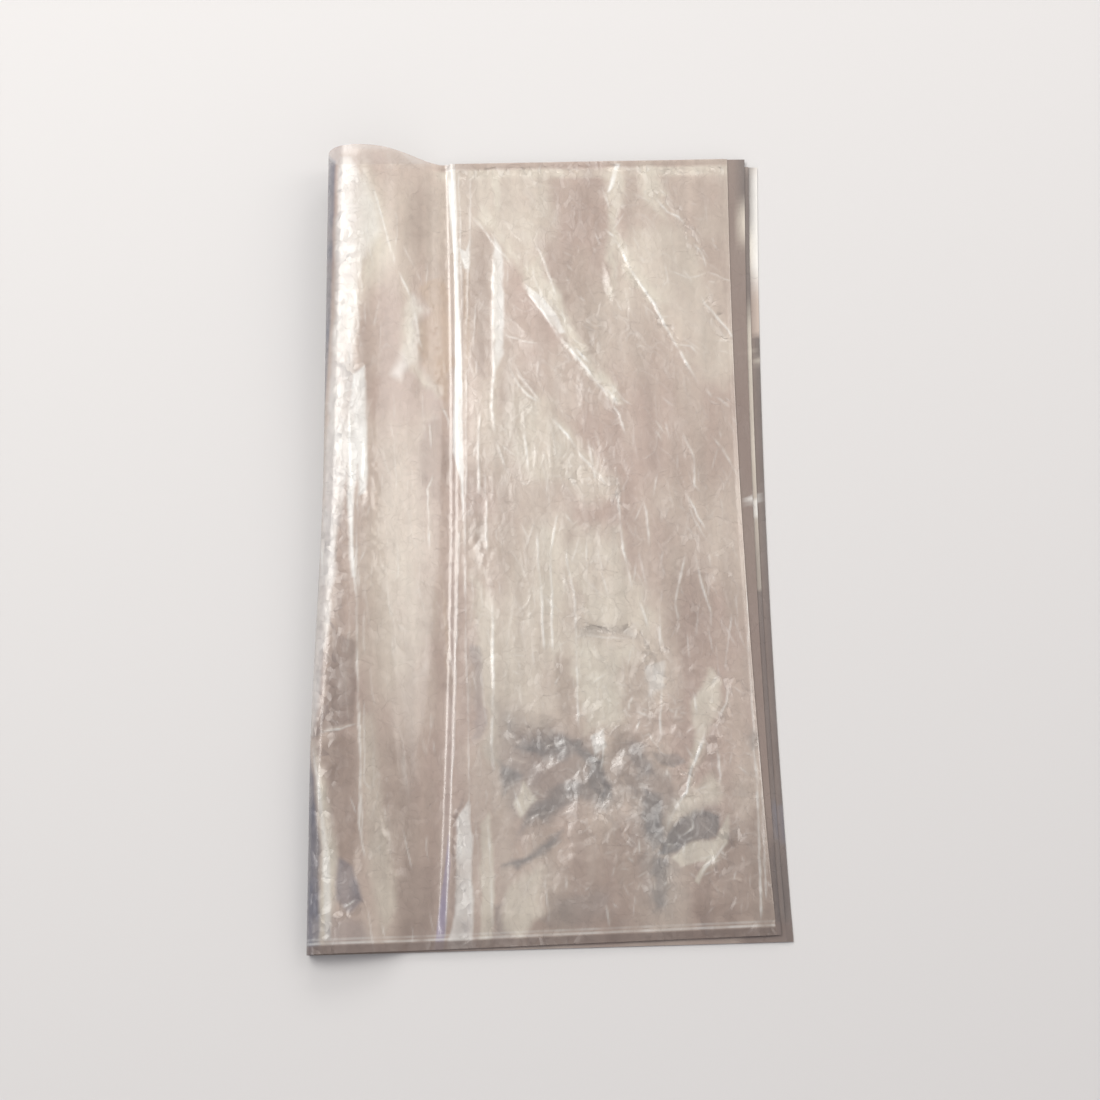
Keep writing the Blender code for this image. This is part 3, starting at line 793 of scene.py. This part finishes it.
def clouds(u, v, layers):
    """Soft random values laid over each other."""
    return sum(depth * cloud(u, v, cell, stretch, seed) for depth, cell, stretch, seed in layers)


def patch(u, v, middle, half):
    """A soft oval patch, 1 in its middle and 0 outside it."""
    return smooth(1.35 - np.hypot((u - middle[0]) / half[0], (v - middle[1]) / half[1]))


def near_path(u, v, path, width):
    """1 along a path and 0 beyond a width from it."""
    points = np.array(path, dtype=float)
    nearest = np.full_like(u, np.inf)
    for start, end in zip(points, points[1:]):
        step = end - start
        share = ((u - start[0]) * step[0] + (v - start[1]) * step[1]) / (step @ step)
        share = np.clip(share, 0.0, 1.0)
        gap = np.hypot(u - start[0] - share * step[0], v - start[1] - share * step[1])
        nearest = np.minimum(nearest, gap)
    return smooth(1.3 - nearest / width)


def area(u, v, outline, softness):
    """1 inside an outline and 0 outside it, with a soft edge."""
    points = np.array(outline, dtype=float)
    mask = np.zeros_like(u)
    low, high = points.min(axis=0) - softness, points.max(axis=0) + softness
    near = (u > low[0]) & (u < high[0]) & (v > low[1]) & (v < high[1])
    a, b = u[near], v[near]
    nearest = np.full_like(a, np.inf)
    inside = np.zeros(a.shape, dtype=bool)
    for start, end in zip(points, np.roll(points, -1, axis=0)):
        step = end - start
        share = np.clip(((a - start[0]) * step[0] + (b - start[1]) * step[1]) / (step @ step), 0.0, 1.0)
        gap = np.hypot(a - start[0] - share * step[0], b - start[1] - share * step[1])
        nearest = np.minimum(nearest, gap)
        if step[1] != 0.0:
            crossed = (start[1] > b) != (end[1] > b)
            inside ^= crossed & (a < start[0] + step[0] * (b - start[1]) / step[1])
    mask[near] = smooth(0.5 + np.where(inside, nearest, -nearest) / softness)
    return mask


def creased(u, v):
    """Height of the creased film in millimetres, the painted highlight along its edges, the painted milky
    sheen.
    """
    height, line, sheen_wash = np.zeros_like(u), np.zeros_like(u), np.zeros_like(u)
    u, v = wavering(u, v)
    broken = np.clip(BROKEN_MEAN + clouds(u, v, BROKEN), *BROKEN_LIMITS)
    for kind, paths in CREASES.items():
        for path in paths:
            press_crease(height, line, sheen_wash, u, v, path, kind, broken)
    for kind, path, strength in scattered_creases():
        press_crease(height, line, sheen_wash, u, v, path, kind, broken * strength)
    regions = {name: patch(u, v, middle, half) for name, (middle, half) in REGIONS.items()}
    for region, cell, stretch, turn, seed in WEBS:
        gap = np.abs(facets(u, v, cell, stretch, turn, seed)) * cell
        patches = clouds(u, v, [(*WEB_PATCHES, seed + WEB_PATCH_SEED)])
        shown = np.clip(WEB_MEAN + patches, 0.0, 1.0)
        web = regions[region] * shown * smooth(1.0 - gap / WEB_WIDTH)
        height += WEB_HEIGHT * web
        # A painted highlight along the finest crease lines.
        line = np.maximum(line, WEB_HIGHLIGHT * web)
    for region, rise, cell, stretch, turn, seed in RELIEF:
        height += rise * regions[region] * facets(u, v, cell, stretch, turn, seed)
    height += clouds(u, v, SWELL)
    return height + STAND_OFF, np.clip(line, 0.0, 1.0), np.clip(sheen_wash, 0.0, 1.0)


def lay_tone(colour, name, mask):
    """Lay one tone, the film's own or painted light and shade, over a colour, by a mask."""
    colour += (np.array(TONES[name]) - colour) * mask[..., None]


def mottled(u, v):
    """The film's colour, a little uneven: pink towards its milky look, partly painted sheen, and towards
    painted shade.
    """
    colour = np.empty(u.shape + (3,))
    colour[:] = TONES["pink"]
    lay_tone(colour, "milk_sheen", np.clip(MILKY_SHEEN_MEAN + clouds(u, v, MILKY_SHEEN), 0.0, 1.0))
    lay_tone(colour, "shade_dusk", np.clip(DUSKY_SHADE_MEAN + clouds(u, v, DUSKY_SHADE), 0.0, 1.0))
    return colour


def upper_tones(u, v, line, sheen_wash, from_weld, from_mouth):
    """Colour of the upper film, with painted highlights, sheen, shade and reflections, and how crinkled it
    is, 0 to 1.
    """
    off_u, off_v = clouds(u, v, BENT_ACROSS), clouds(u, v, BENT_ALONG)
    free = 1.0 - HELD_ON_ROLL * smooth((ROLL_SEEN - u) / 20.0)
    bent_u, bent_v = u + off_u * free, v + off_v * free
    colour = mottled(u, v)
    uneven = UNEVEN_MEAN + clouds(u, v, UNEVEN)
    for name, depth, softness, outline in TONED:
        bend = min((softness - SHARPEST) / 3.0, 1.0) * free
        if softness > SOFTER_FROM:
            softness *= SOFTER.get(name, 1.0)
        mask = area(u + off_u * bend, v + off_v * bend, outline, softness)
        lay_tone(colour, name, depth * mask * uneven)
    # Painted milky sheen beside the creases and painted highlight along their edges.
    lay_tone(colour, "milk_sheen", sheen_wash)
    lay_tone(colour, "white", line)

    # The bottom's weld, with its painted highlight lines, and the rim at the mouth,
    # with painted shade and a band of painted milky sheen.
    flat = smooth((u - RIM_FROM) / 14.0)
    sparkle = SPARKLE_MEAN + clouds(u, v, SPARKLE)
    lay_tone(colour, "brown", WELD_BROWN * smooth((WELD_LINE - from_weld) / 1.2))
    # Painted highlight lines along the weld.
    for place, depth in WELD_HIGHLIGHT_LINES:
        lay_tone(colour, "white", depth * sparkle * smooth(1.2 - np.abs(from_weld - place) / 0.7))
    rim = smooth((RIM - from_mouth) / 0.8)
    # Painted shade on the rim, then a band of painted milky sheen beside it.
    lay_tone(colour, "shade_dusk", RIM_SHADE * rim * flat)
    band = smooth((from_mouth - RIM) / 0.8) * smooth((RIM + RIM_BAND - from_mouth) / 3.5)
    lay_tone(colour, "milk_sheen", BAND_SHEEN * band * flat * sparkle)

    colour *= 1.0 + STREAKED * clouds(u, v, STREAKS)[..., None]
    colour *= 1.0 - SHADE_AT_WELD * smooth((SHADE_FROM - v[..., None]) / SHADE_REACH)
    colour = np.clip(colour, 0.0, 0.95)

    crinkled = CRINKLED_MEAN + clouds(u, v, CRINKLING)
    crinkled = np.maximum(crinkled, CORNER_CRINKLED * patch(bent_u, bent_v, *CRINKLED_CORNER))
    for path, width in CRINKLED_RUNS:
        crinkled = np.maximum(crinkled, near_path(bent_u, bent_v, path, width))
    return colour, np.clip(crinkled, 0.0, 1.0)


def under_tones(u, v, line, sheen_wash, from_weld, from_mouth):
    """Colour of the plies underneath, with painted shadow, highlights, sheen and reflection on the steps, and
    how crinkled they are.
    """
    colour = mottled(u, v)
    for name, depth, softness, outline in STEP_TONED:
        lay_tone(colour, name, depth * area(u, v, outline, softness))
    uneven = STEP_UNEVEN_MEAN + clouds(u, v, STEP_UNEVEN)
    lay_tone(colour, "brown", STEP_WELD_BROWN * smooth((STEP_WELD_SEEN - v) / 3.0) * uneven)
    return colour, np.full_like(u, UNDER_CRINKLED)


def weld_pinch(y_from_bottom):
    """How far the plies are apart, from pressed together at the weld to free."""
    return WELD_PRESSED + (1.0 - WELD_PRESSED) * smooth((y_from_bottom - WELD_WIDTH) / WELD_EASE)


def grid_normals(grid):
    """Direction that each point of a grid of points faces, upwards on the upper wall."""
    across = np.gradient(grid, axis=1)
    up = np.gradient(grid, axis=0)
    normal = np.cross(across, up)
    return normal / np.linalg.norm(normal, axis=-1, keepdims=True)


def cut_sheet(name, grid, normals, colour, crinkled):
    """Make one sheet of a grid of points, with its colour and veil at each."""
    index = np.arange(grid[..., 0].size).reshape(grid.shape[:2])
    corners = np.stack([index[:-1, :-1], index[:-1, 1:], index[1:, 1:], index[1:, :-1]], axis=-1)
    mesh = bpy.data.meshes.new(name)
    mesh.vertices.add(index.size)
    mesh.vertices.foreach_set("co", grid.reshape(-1))
    mesh.loops.add(corners.size)
    mesh.loops.foreach_set("vertex_index", corners.reshape(-1))
    mesh.polygons.add(corners.size // 4)
    mesh.polygons.foreach_set("loop_start", np.arange(0, corners.size, 4))
    mesh.polygons.foreach_set("loop_total", np.full(corners.size // 4, 4))
    mesh.update(calc_edges=True)
    mesh.shade_smooth()
    mesh.normals_split_custom_set_from_vertices(normals.reshape(-1, 3))
    mesh.attributes.new("tone", "FLOAT_COLOR", "POINT").data.foreach_set("color", colour.reshape(-1))
    mesh.attributes.new("crinkled", "FLOAT", "POINT").data.foreach_set("value", crinkled.reshape(-1))
    sheet = bpy.data.objects.new(name, mesh)
    bpy.context.scene.collection.objects.link(sheet)
    return sheet


def film_sheets(names, outline, rows, pressed, toned):
    """Lay film through one outline of (x, z, half, veil) columns for each row.

    The film is cut into as many sheets as there are names, side by side.
    """
    points, from_weld, from_mouth = [], [], []
    for row in range(rows + 1):
        along = row / rows
        x, z, half, veil = outline(along)
        bottom, mouth = end_places(x, half, along)
        y = bottom + (mouth - bottom) * along
        pinch = weld_pinch(y - bottom)
        middle = level(blend(PRESSED_TO, half))
        flat = 1.0 - smooth((z - level(7)) / PINCH_RISE)
        z = z + (middle - z) * (1.0 - pinch) * flat
        points.append(np.stack([x, y, z], axis=-1))
        from_weld.append((y - bottom) * 1000.0)
        from_mouth.append((mouth - y) * 1000.0)
    grid = np.array(points)
    u, v = seen(grid[..., 0], grid[..., 1], grid[..., 2])
    height, line, sheen_wash = creased(u, v)
    grid[..., 2] += pressed(grid, u, v, height)
    colour, crinkled = toned(u, v, line, sheen_wash, np.array(from_weld), np.array(from_mouth))
    thinner = np.maximum(veil - MOUTH_VEIL, 0.0) * (veil < STACK_VEIL)
    veil = veil - thinner * smooth((v - ROLL_MOUTH_SEEN) / 0.8)
    tone = np.concatenate([colour, veil[..., None]], axis=-1)
    normals = grid_normals(grid)

    sheets = []
    columns = grid.shape[1] - 1
    for part, name in enumerate(names):
        cut = slice(part * columns // len(names), (part + 1) * columns // len(names) + 1)
        pieces = (grid[:, cut], normals[:, cut], tone[:, cut], crinkled[:, cut])
        sheets.append(cut_sheet(name, *(np.ascontiguousarray(piece) for piece in pieces)))
    return sheets


def roll_outline(along):
    """From the roll's foot on the table, round it and down to the gussets."""
    left, crest = roll_edge(along), crest_height(along)
    radius = (crest - level(0)) / 2
    angle = np.linspace(math.pi, 0.0, ARC_COLUMNS, endpoint=False)
    arc_x = left + radius * (1.0 - np.sin(angle))
    arc_z = (crest + level(0)) / 2 + (crest - level(0)) / 2 * np.cos(angle)
    end = upper_gusset_fold(along)
    foot = end - STEP_CLEARANCE - STEP_WIDTH
    wall_x = np.linspace(left + radius, end, SLOPE_COLUMNS)
    share = np.clip((wall_x - left - radius) / (foot - left - radius), 0.0, 1.0)
    wall_z = crest + (level(3) - crest) * smooth(share ** OUTER_SHOULDER)
    wall_z += (level(7) - level(3)) * smooth((wall_x - foot) / STEP_WIDTH)
    x, z = np.concatenate([arc_x, wall_x]), np.concatenate([arc_z, wall_z])
    half = np.concatenate([np.zeros(ARC_COLUMNS), np.ones(SLOPE_COLUMNS)])
    return x, z, half, np.full(len(x), PLY_VEIL)


def wall_outline(along):
    """The upper wall, from the gusset's fold to its side crease and round it."""
    edge = side_edge(along) - blend(UPPER_WALL_INSET, along)
    x = np.linspace(upper_gusset_fold(along), edge - PITCH / 2, WALL_COLUMNS)
    z = np.full(WALL_COLUMNS, level(7))
    x = np.append(x, edge)
    z = np.append(z, level(6.5))
    return x, z, np.ones(len(x)), np.full(len(x), PLY_VEIL)


def run(start, end, ply, columns=UNDER_FIELD_COLUMNS):
    """A flat run of one ply, without its last point."""
    x = np.linspace(start, end, columns, endpoint=False)
    return x, np.full(columns, level(ply))


def under_outline(along):
    """All the plies under the upper wall, from its side crease to the roll's foot."""
    edge = side_edge(along)
    left = roll_edge(along)
    crest = crest_height(along)
    air = blend(ROLL_AIR, along) + FILM
    upper, lower = upper_gusset_fold(along), lower_gusset_fold(along)
    wall_crease = edge - blend(UPPER_WALL_INSET, along)
    upper_crease = edge - blend(UPPER_INNER_INSET, along)
    lower_crease = edge - blend(LOWER_INNER_INSET, along)
    turn = PITCH / 2
    step_end = upper - STEP_CLEARANCE
    step_start = step_end - STEP_WIDTH
    inner_crest = crest - air
    inner_radius = (inner_crest - level(1)) / 2
    foot = left + INNER_FOOT * (upper - left)

    slope_x = np.linspace(foot, left + air + inner_radius, INNER_SLOPE_COLUMNS, endpoint=False)
    share = (slope_x - left - air - inner_radius) / (foot - left - air - inner_radius)
    slope_z = inner_crest + (level(2) - inner_crest) * smooth(share ** INNER_SHOULDER)
    angle = np.linspace(0.0, math.pi, INNER_ARC_COLUMNS)
    arc_x = left + air + inner_radius * (1.0 - np.sin(angle))
    arc_z = (inner_crest + level(1)) / 2 + (inner_crest - level(1)) / 2 * np.cos(angle)
    roll_foot = left + (crest - level(0)) / 2

    # Each part is x, z, whether it is of the upper half, and its veil.
    parts = [
        (([wall_crease], [level(6.5)]), 1, STACK_VEIL),
        (run(wall_crease - turn, upper + turn, 6), 1, STACK_VEIL),
        (([upper], [level(5.5)]), 1, STACK_VEIL),
        (run(upper + turn, upper_crease - turn, 5), 1, STACK_VEIL),
        (([upper_crease], [level(4.5)]), 1, STACK_VEIL),
        (run(upper_crease - turn, step_end, 4), 1, STACK_VEIL),
        (run(step_end, step_start, 4, 1), 1, STACK_VEIL),
        (run(step_start, foot, 2, INNER_FIELD_COLUMNS), 1, STACK_VEIL),
        ((slope_x, slope_z), 1, INNER_VEIL),
        ((arc_x, arc_z), 0, INNER_VEIL),
        (run(step_start, step_end, 1, 1), 0, STACK_VEIL),
        (run(step_end, lower_crease - turn, 3), 0, STACK_VEIL),
        (([lower_crease], [level(2.5)]), 0, STACK_VEIL),
        (run(lower_crease - turn, lower + turn, 2), 0, STACK_VEIL),
        (([lower], [level(1.5)]), 0, STACK_VEIL),
        (run(lower + turn, edge - turn, 1), 0, STACK_VEIL),
        (([edge], [level(0.5)]), 0, STACK_VEIL),
        (run(edge - turn, roll_foot, 0, LOWEST_PLY_COLUMNS), 0, STACK_VEIL),
        (([roll_foot], [level(0)]), 0, STACK_VEIL),
    ]
    x = np.concatenate([line[0] for line, _, _ in parts])
    z = np.concatenate([line[1] for line, _, _ in parts])
    half = np.concatenate([np.full(len(line[0]), part, dtype=float) for line, part, _ in parts])
    veil = np.concatenate([np.full(len(line[0]), part) for line, _, part in parts])
    return x, z, half, veil


def pressed_roll(grid, u, v, height):
    """Creases of the sheet over the roll, dying away where it turns under."""
    column = np.arange(grid.shape[1]) / ARC_COLUMNS
    return np.maximum(height, LOWEST_RELIEF) * MM * smooth(2.0 * column - 0.4)


def pressed_wall(grid, u, v, height):
    """Creases of the upper wall, dying away at its side crease."""
    from_edge = smooth((grid[:, -1:, 0] - grid[..., 0]) / SIDE_FADE)
    return np.maximum(height, LOWEST_RELIEF) * MM * from_edge


def pressed_under(grid, u, v, height):
    """The plies underneath lie a little uneven, each in its own gap."""
    return UNDER_RELIEF * facets(u, v, 22, 2.5, 15, 31)


def input_of(node, name, value):
    """Set one named input of a node."""
    node.inputs[name].default_value = value


def crinkled_film():
    """Group: flat tilted facets of crumpled film, stronger where it is crinkled."""
    group = bpy.data.node_groups.new("crinkled_film", "ShaderNodeTree")
    group.interface.new_socket("Crinkled", in_out="INPUT", socket_type="NodeSocketFloat")
    group.interface.new_socket("Height", in_out="OUTPUT", socket_type="NodeSocketFloat")
    group.interface.new_socket("Uneven", in_out="OUTPUT", socket_type="NodeSocketFloat")
    nodes, links = group.nodes, group.links
    entry, leave = nodes.new("NodeGroupInput"), nodes.new("NodeGroupOutput")
    place = nodes.new("ShaderNodeTexCoord").outputs["Object"]

    def calculate(kind, operation, values):
        node = nodes.new(kind)
        node.operation = operation
        for socket, value in zip(node.inputs, values):
            if isinstance(value, (float, tuple)):
                socket.default_value = value
            else:
                links.new(value, socket)
        return node

    def number(operation, *values):
        return calculate("ShaderNodeMath", operation, values).outputs["Value"]

    def vector(operation, *values):
        return calculate("ShaderNodeVectorMath", operation, values).outputs["Vector"]

    def noise(scale, detail):
        node = nodes.new("ShaderNodeTexNoise")
        input_of(node, "Scale", scale)
        input_of(node, "Detail", detail)
        links.new(place, node.inputs["Vector"])
        return node

    def tilted_cells(where, scale, slope):
        cells = nodes.new("ShaderNodeTexVoronoi")
        cells.voronoi_dimensions = "2D"
        input_of(cells, "Scale", scale)
        links.new(where, cells.inputs["Vector"])
        off = vector("SUBTRACT", where, cells.outputs["Position"])
        tilt = vector("SUBTRACT", cells.outputs["Color"], (0.5, 0.5, 0.5))
        rise = calculate("ShaderNodeVectorMath", "DOT_PRODUCT", (off, tilt))
        return number("MULTIPLY", rise.outputs["Value"], slope)

    wander = noise(WANDER_SCALE, 1.0)
    bent = vector("MULTIPLY_ADD", wander.outputs["Color"], CRINKLE_WANDER, place)
    drawn = vector("MULTIPLY", bent, CRINKLE_DRAWN)
    middle = tilted_cells(drawn, MIDDLE_CELLS, MIDDLE_SLOPE)
    small = tilted_cells(drawn, SMALL_CELLS, SMALL_SLOPE)
    crinkled = entry.outputs["Crinkled"]
    both = number("ADD", middle, number("MULTIPLY", small, crinkled))
    links.new(number("MULTIPLY", both, crinkled), leave.inputs["Height"])
    links.new(noise(GLOSS_SCALE, 2.0).outputs["Fac"], leave.inputs["Uneven"])
    return group


def ramp_between(tree, low, high, source):
    """Map a 0 to 1 source onto low to high."""
    node = tree.nodes.new("ShaderNodeMapRange")
    input_of(node, "To Min", low)
    input_of(node, "To Max", high)
    tree.links.new(source, node.inputs["Value"])
    return node.outputs["Result"]


def mix_colour(tree, first, second, share):
    """Mix two colours by a share: the Mix node has colours at sockets 6 and 7."""
    node = tree.nodes.new("ShaderNodeMix")
    node.data_type = "RGBA"
    for socket, value in ((node.inputs[6], first), (node.inputs[7], second)):
        if isinstance(value, tuple):
            socket.default_value = value
        else:
            tree.links.new(value, socket)
    tree.links.new(share, node.inputs[0])
    return node.outputs[2]


def film_material(name, crinkles):
    """Glossy clear film, with the tones of the plies under it and painted light and shade, and crinkled."""
    material = bpy.data.materials.new(name)
    material.use_nodes = True
    tree = material.node_tree
    shader = tree.nodes["Principled BSDF"]
    tone = tree.nodes.new("ShaderNodeAttribute")
    tone.attribute_name = "tone"
    crinkled = tree.nodes.new("ShaderNodeAttribute")
    crinkled.attribute_name = "crinkled"
    texture = tree.nodes.new("ShaderNodeGroup")
    texture.node_tree = crinkles
    tree.links.new(crinkled.outputs["Fac"], texture.inputs["Crinkled"])
    tree.links.new(tone.outputs["Color"], shader.inputs["Base Color"])
    roughness = ramp_between(tree, *ROUGHNESS, texture.outputs["Uneven"])
    tree.links.new(roughness, shader.inputs["Roughness"])
    tree.links.new(tone.outputs["Alpha"], shader.inputs["Alpha"])
    dent = tree.nodes.new("ShaderNodeBump")
    input_of(dent, "Strength", 1.0)
    input_of(dent, "Distance", 1.0)
    tree.links.new(texture.outputs["Height"], dent.inputs["Height"])
    tree.links.new(dent.outputs["Normal"], shader.inputs["Normal"])
    input_of(shader, "IOR", FILM_IOR)
    input_of(shader, "Coat Weight", COAT)
    input_of(shader, "Coat Roughness", COAT_ROUGHNESS)
    input_of(shader, "Coat IOR", FILM_IOR)
    return material


def floor_material():
    """Plain pale floor."""
    material = bpy.data.materials.new("pale_floor")
    material.use_nodes = True
    shader = material.node_tree.nodes["Principled BSDF"]
    input_of(shader, "Base Color", FLOOR_COLOUR)
    input_of(shader, "Roughness", 0.8)
    return material


def make_floor():
    """A wide pale floor under the bag."""
    mesh = bpy.data.meshes.new("floor")
    reach = FLOOR_REACH
    corners = [(-reach, -reach, 0), (reach, -reach, 0), (reach, reach, 0), (-reach, reach, 0)]
    mesh.from_pydata(corners, [], [(0, 1, 2, 3)])
    mesh.materials.append(floor_material())
    floor = bpy.data.objects.new("floor", mesh)
    floor.location.z = -FLOOR_DROP
    bpy.context.scene.collection.objects.link(floor)


def softbox(name, towards, distance, size, watts, colour):
    """A soft rectangular light that shines on the middle of the bag."""
    light = bpy.data.lights.new(name, "AREA")
    light.shape = "RECTANGLE"
    light.size, light.size_y = size
    light.energy = watts
    light.color = colour
    lamp = bpy.data.objects.new(name, light)
    way = Vector(towards).normalized()
    lamp.location = way * distance
    lamp.rotation_euler = way.to_track_quat("Z", "Y").to_euler()
    bpy.context.scene.collection.objects.link(lamp)


def room():
    """The room's light, from all around."""
    world = bpy.data.worlds.new("room")
    world.use_nodes = True
    tree = world.node_tree
    place = tree.nodes.new("ShaderNodeTexCoord")
    split = tree.nodes.new("ShaderNodeSeparateXYZ")
    tree.links.new(place.outputs["Generated"], split.inputs["Vector"])
    rise = tree.nodes.new("ShaderNodeMapRange")
    input_of(rise, "From Min", ROOM_RISE[0])
    input_of(rise, "From Max", ROOM_RISE[1])
    tree.links.new(split.outputs["Z"], rise.inputs["Value"])
    colour = mix_colour(tree, ROOM_LOW, ROOM_OVERHEAD, rise.outputs["Result"])
    aside = tree.nodes.new("ShaderNodeMapRange")
    input_of(aside, "From Min", ROOM_TURN[0])
    input_of(aside, "From Max", ROOM_TURN[1])
    tree.links.new(split.outputs["X"], aside.inputs["Value"])
    colour = mix_colour(tree, colour, ROOM_ASIDE, aside.outputs["Result"])
    tree.links.new(colour, tree.nodes["Background"].inputs["Color"])
    input_of(tree.nodes["Background"], "Strength", 1.0)
    bpy.context.scene.world = world


def light_studio():
    """The softboxes and the room."""
    for name, values in SOFTBOXES.items():
        softbox(name, *values)
    room()


def set_camera():
    """Look at the bag from over its near end."""
    camera = bpy.data.cameras.new("camera")
    camera.lens = CAMERA_LENS
    camera.sensor_width = 36.0
    camera.clip_start = 0.01
    right = Vector((1.0, 0.0, 0.0))
    up = CAMERA_BACK.cross(right)
    turned_right = right * math.cos(CAMERA_ROLL) + up * math.sin(CAMERA_ROLL)
    turned_up = up * math.cos(CAMERA_ROLL) - right * math.sin(CAMERA_ROLL)
    eye = bpy.data.objects.new("camera", camera)
    turned = Matrix((turned_right, turned_up, CAMERA_BACK)).transposed().to_4x4()
    eye.matrix_world = Matrix.Translation(CAMERA_AT) @ turned
    bpy.context.scene.collection.objects.link(eye)
    bpy.context.scene.camera = eye


def main():
    """Lay the film, dress it and light it."""
    set_camera()
    make_floor()
    light_studio()
    bpy.context.scene.view_settings.view_transform = "Standard"
    bpy.context.scene.cycles.transparent_max_bounces = 12
    bpy.context.scene.cycles.max_bounces = 4
    bpy.context.scene.cycles.diffuse_bounces = 2
    bpy.context.scene.cycles.glossy_bounces = 2

    film = film_material("clear_film_look", crinkled_film())
    roll = film_sheets(["roll_film"], roll_outline, ROWS, pressed_roll, upper_tones)
    walls = film_sheets(["fold_side_film", "crease_side_film"], wall_outline, ROWS, pressed_wall, upper_tones)
    under = film_sheets(["under_film"], under_outline, UNDER_ROWS, pressed_under, under_tones)
    for sheet in roll + walls + under:
        sheet.data.materials.append(film)
        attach(sheet, "root")
        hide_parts("bag")


main()
